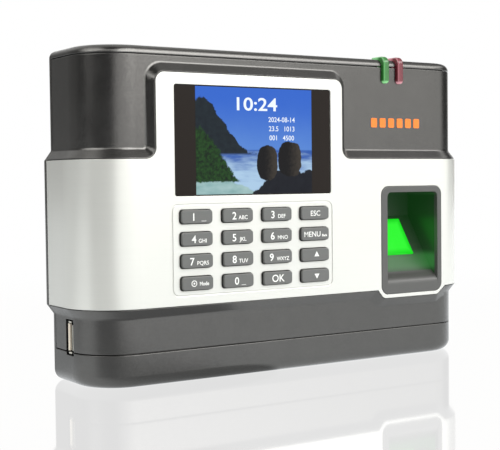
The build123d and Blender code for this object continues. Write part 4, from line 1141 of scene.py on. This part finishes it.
@dataclass
class Display:
    """Black display glass with the lit picture and a clock in it."""

    corner: float = 0.9
    edge: float = 0.35
    picture_width: float = 57.3
    picture_rim: float = 0.1
    picture_light: float = 0.95
    film: float = 0.03
    ink: float = 0.02
    readings: tuple[Mark, ...] = (
        Mark("10:24", 1.0, 5.4, 12.6, 20.0, 0.1),
        Mark("2024-08-14", 13.2, 2.1, 8.0),
        Mark("23.5   1013", 13.2, 2.1, 4.2),
        Mark("001   4500", 13.2, 2.1, 0.4),
    )

    def build(self) -> None:
        """Make the glass, the picture and the clock."""
        low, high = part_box("display_window")
        size = (high - low) / MM
        place = place_on("display_window", back=0)
        glass = Shaper()
        glass.block((size.x, size.z), self.corner, size.y, edge=self.edge, edge_steps=3)
        rear = Facing.FRONT.at(place_on("display_window", back=1))
        glass.piece(
            "display_pane", rear, Finishes.DISPLAY_GLASS, stands_for=("display_window",),
        )
        tall = size.z - 2 * self.edge - self.picture_rim
        screen = Shaper()
        screen.block((self.picture_width, tall), 0, self.film)
        half = Vector((self.picture_width, 0, tall)) * MM / 2
        corner, far = place - half, place + half
        picture = Landscape("display_picture", (corner.x, corner.z), (far.x, far.z), self.picture_light)
        screen.piece("display_picture", Facing.FRONT.at(place), picture)
        clock = Shaper()
        for reading in self.readings:
            clock.add_lettering(reading, self.ink)
        ahead = Facing.FRONT.at(place - Vector((0, self.film * MM, 0)))
        clock.piece("display_clock", ahead, Finishes.CLOCK_LIGHT)


@dataclass(frozen=True)
class Legend:
    """What is printed on one key: lines of lettering, an arrow or a ring with a dot."""

    marks: tuple[Mark, ...] = ()
    arrow: int = 0
    ring: bool = False

    @classmethod
    def digit(cls, number: str, x: float, small: str, small_x: float, width: float = 0.0) -> "Legend":
        """Return the legend of a number key.

        Args:
            number: The large digit.
            x: Its middle across the key.
            small: The small letters beside it.
            small_x: Their middle across the key.
            width: Their width, where it is not the type's own.

        Returns:
            The legend.
        """
        return cls((Mark(number, x, 3.1, weight=0.05), Mark(small, small_x, width=width)))


@dataclass
class Keypad:
    """Sixteen keys with printed legends."""

    edge: float = 0.4
    corner: float = 1.25
    cap_depth: float = 0.7
    flange: float = 1.0
    flange_depth: float = 1.0
    ink: float = 0.03
    ring_sizes: Pair = (2.6, 1.95)
    ring_dot: float = 0.8
    ring_aside: float = -1.8
    arrow_size: float = 2.9
    arrow_aside: float = 0.5
    legends: dict[str, Legend] = field(default_factory=lambda: {
        "key_1": Legend.digit("1", -1.7, "_", 3.0, 2.2),
        "key_2": Legend.digit("2", -2.0, "ABC", 2.2),
        "key_3": Legend.digit("3", -2.5, "DEF", 2.0),
        "key_4": Legend.digit("4", -1.7, "GHI", 2.3),
        "key_5": Legend.digit("5", -2.1, "JKL", 2.0),
        "key_6": Legend.digit("6", -2.7, "MNO", 2.4, 5.1),
        "key_7": Legend.digit("7", -2.6, "PQRS", 2.4, 5.4),
        "key_8": Legend.digit("8", -2.1, "TUV", 2.2),
        "key_9": Legend.digit("9", -3.3, "WXYZ", 2.4, 6.3),
        "key_0": Legend.digit("0", -1.1, "_", 2.2, 2.2),
        "key_esc": Legend((Mark("ESC", 0.0, 2.3, -1.15),)),
        "key_menu": Legend((Mark("MENU", -1.7, 2.3, -1.15), Mark("Back", 4.8, 1.0, -1.15, weight=0.04))),
        "key_ok": Legend((Mark("OK", 0.0, 3.1, weight=0.03),)),
        "key_mode": Legend((Mark("Mode", 2.9, 1.6, -0.95, 4.3, 0.05),), ring=True),
        "key_up": Legend(arrow=1),
        "key_down": Legend(arrow=-1),
    })

    def build(self) -> None:
        """Make every key with its legend."""
        for name, legend in self.legends.items():
            self.cap(name)
            self.print_legend(name, legend)

    def cap(self, name: str) -> None:
        """Make one key cap with its stem and flange; the ink of its legend stays within the model's box.

        Args:
            name: Node and body of the key.
        """
        low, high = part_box(name)
        size = (high - low) / MM
        top = size.y - self.ink
        rear = place_on(name, back=1)
        face = (size.x - 2 * self.flange, size.z - 2 * self.flange)
        skirt = Shaper()
        skirt.block((size.x, size.z), self.corner, self.flange_depth, steps=5)
        skirt.block(face, self.corner, top - self.cap_depth)
        # the stem and flange wear the darker grey, painted shade on the sides of the key
        skirt.piece(f"{name}_skirt", Facing.FRONT.at(rear), Finishes.KEY_SKIRT_PAINTED_SHADE, name, (name,))
        cap = Shaper()
        cap.block(face, self.corner, self.cap_depth, edge=self.edge, edge_steps=4)
        seat = rear - Vector((0, (top - self.cap_depth) * MM, 0))
        cap.piece(f"{name}_cap", Facing.FRONT.at(seat), Finishes.KEY_PLASTIC, name, (name,))

    def print_legend(self, name: str, legend: Legend) -> None:
        """Print one key's legend.

        Args:
            name: Body of the key.
            legend: What it says.
        """
        shaper = Shaper()
        for mark in legend.marks:
            shaper.add_lettering(mark, self.ink)
        if legend.ring:
            middle = (self.ring_aside, 0.0)
            shaper.raise_faces(shaper.hoop(*self.ring_sizes, middle, 24), self.ink)
            shaper.raise_faces(shaper.disc(self.ring_dot, middle, 16), self.ink)
        if legend.arrow:
            tip = shaper.disc(self.arrow_size, steps=3)
            turn = math.pi if legend.arrow < 0 else 0.0
            corners = list({v for f in tip for v in f.verts})
            bmesh.ops.rotate(shaper.bm, cent=(0, 0, 0), matrix=Matrix.Rotation(turn, 3, "Z"), verts=corners)
            bmesh.ops.translate(shaper.bm, vec=(self.arrow_aside, 0, 0), verts=corners)
            shaper.raise_faces(tip, self.ink)
        seat = place_on(name, back=0) + Vector((0, self.ink * MM, 0))
        shaper.piece(f"{name}_legend", Facing.FRONT.at(seat), Finishes.LEGEND_INK, name)


@dataclass
class FingerWell:
    """Lit sensor glass on the sloping floor of the finger well."""

    width: float = 16.4
    length: float = 19.2
    lean: float = 33.5
    thickness: float = 2.4
    corner: float = 0.4
    edge: float = 0.3

    def build(self) -> None:
        """Make the sensor glass."""
        up = math.radians(self.lean)
        ways = ((1, 0, 0), (0, math.sin(up), math.cos(up)), (0, -math.cos(up), math.sin(up)))
        middle = place_on("sensor_window")
        sunk = Matrix.Translation((0, 0, -self.thickness / 2 * MM))
        place = Matrix.Translation(middle) @ Matrix(ways).transposed().to_4x4() @ sunk
        shaper = Shaper()
        size = (self.width, self.length)
        shaper.block(size, self.corner, self.thickness, steps=3, edge=self.edge, edge_steps=3)
        light = SensorLight(
            "sensor_green_light", rgb(10, 60, 12), 0.12, Surface.POLISHED, specular=0.1,
            relief=0.0, glow_strength=1.0, middle=tuple(middle), lean=self.lean,
            half_width=self.width / 2, half_length=self.length / 2,
        )
        shaper.piece("sensor_glass", place, light, stands_for=("sensor_window",))


@dataclass
class UsbSocket:
    """Pale tongue tip and plated lips in the mouth of the USB socket."""

    tip: Pair = (1.7, 10.9)
    tip_corner: float = 0.25
    tip_aside: float = 0.75
    tip_depth: float = 0.8
    tip_edge: float = 0.15
    lip: Pair = (2.6, 0.7)
    side_lip: Pair = (0.6, 10.4)
    lip_corner: float = 0.2
    lip_reach: float = 0.25
    lip_edge: float = 0.08

    def build(self) -> None:
        """Make the lips and the tongue's tip."""
        low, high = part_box("usb_shell")
        mouth = place_on("usb_shell", across=0)
        rise = ((high.z - low.z) / MM - self.lip[1]) / 2
        aside = ((high.y - low.y) / MM - self.side_lip[0]) / 2
        lips = Shaper()
        for size, centre in ((self.lip, (0, rise)), (self.lip, (0, -rise)), (self.side_lip, (aside, 0))):
            lips.block(size, self.lip_corner, self.lip_reach, centre, 3, self.lip_edge)
        lips.piece("usb_lips", Facing.LEFT.at(mouth), Finishes.BY_SLOT["plated_steel"])
        contacts = (mouth.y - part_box("usb_contacts")[1].y) / MM
        centre = (contacts - self.tip_aside - self.tip[0] / 2, 0)
        tip = Shaper()
        tip.block(self.tip, self.tip_corner, self.tip_depth, centre, 3, self.tip_edge)
        seat = Vector((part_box("usb_tongue")[0].x, mouth.y, mouth.z))
        tip.piece("usb_tongue_tip", Facing.LEFT.at(seat), Finishes.TONGUE_CREAM)


def main() -> None:
    """Build the studio, then the terminal piece by piece."""
    logging.basicConfig(level=logging.INFO, format="%(name)s: %(message)s")
    ViewPoint().build()
    Studio().build()
    for assembly in (Casing(), AccentMark(), Display(), Keypad(), FingerWell(), UsbSocket()):
        LOG.info("building %s", type(assembly).__name__)
        assembly.build()


if __name__ == "__main__":
    main()
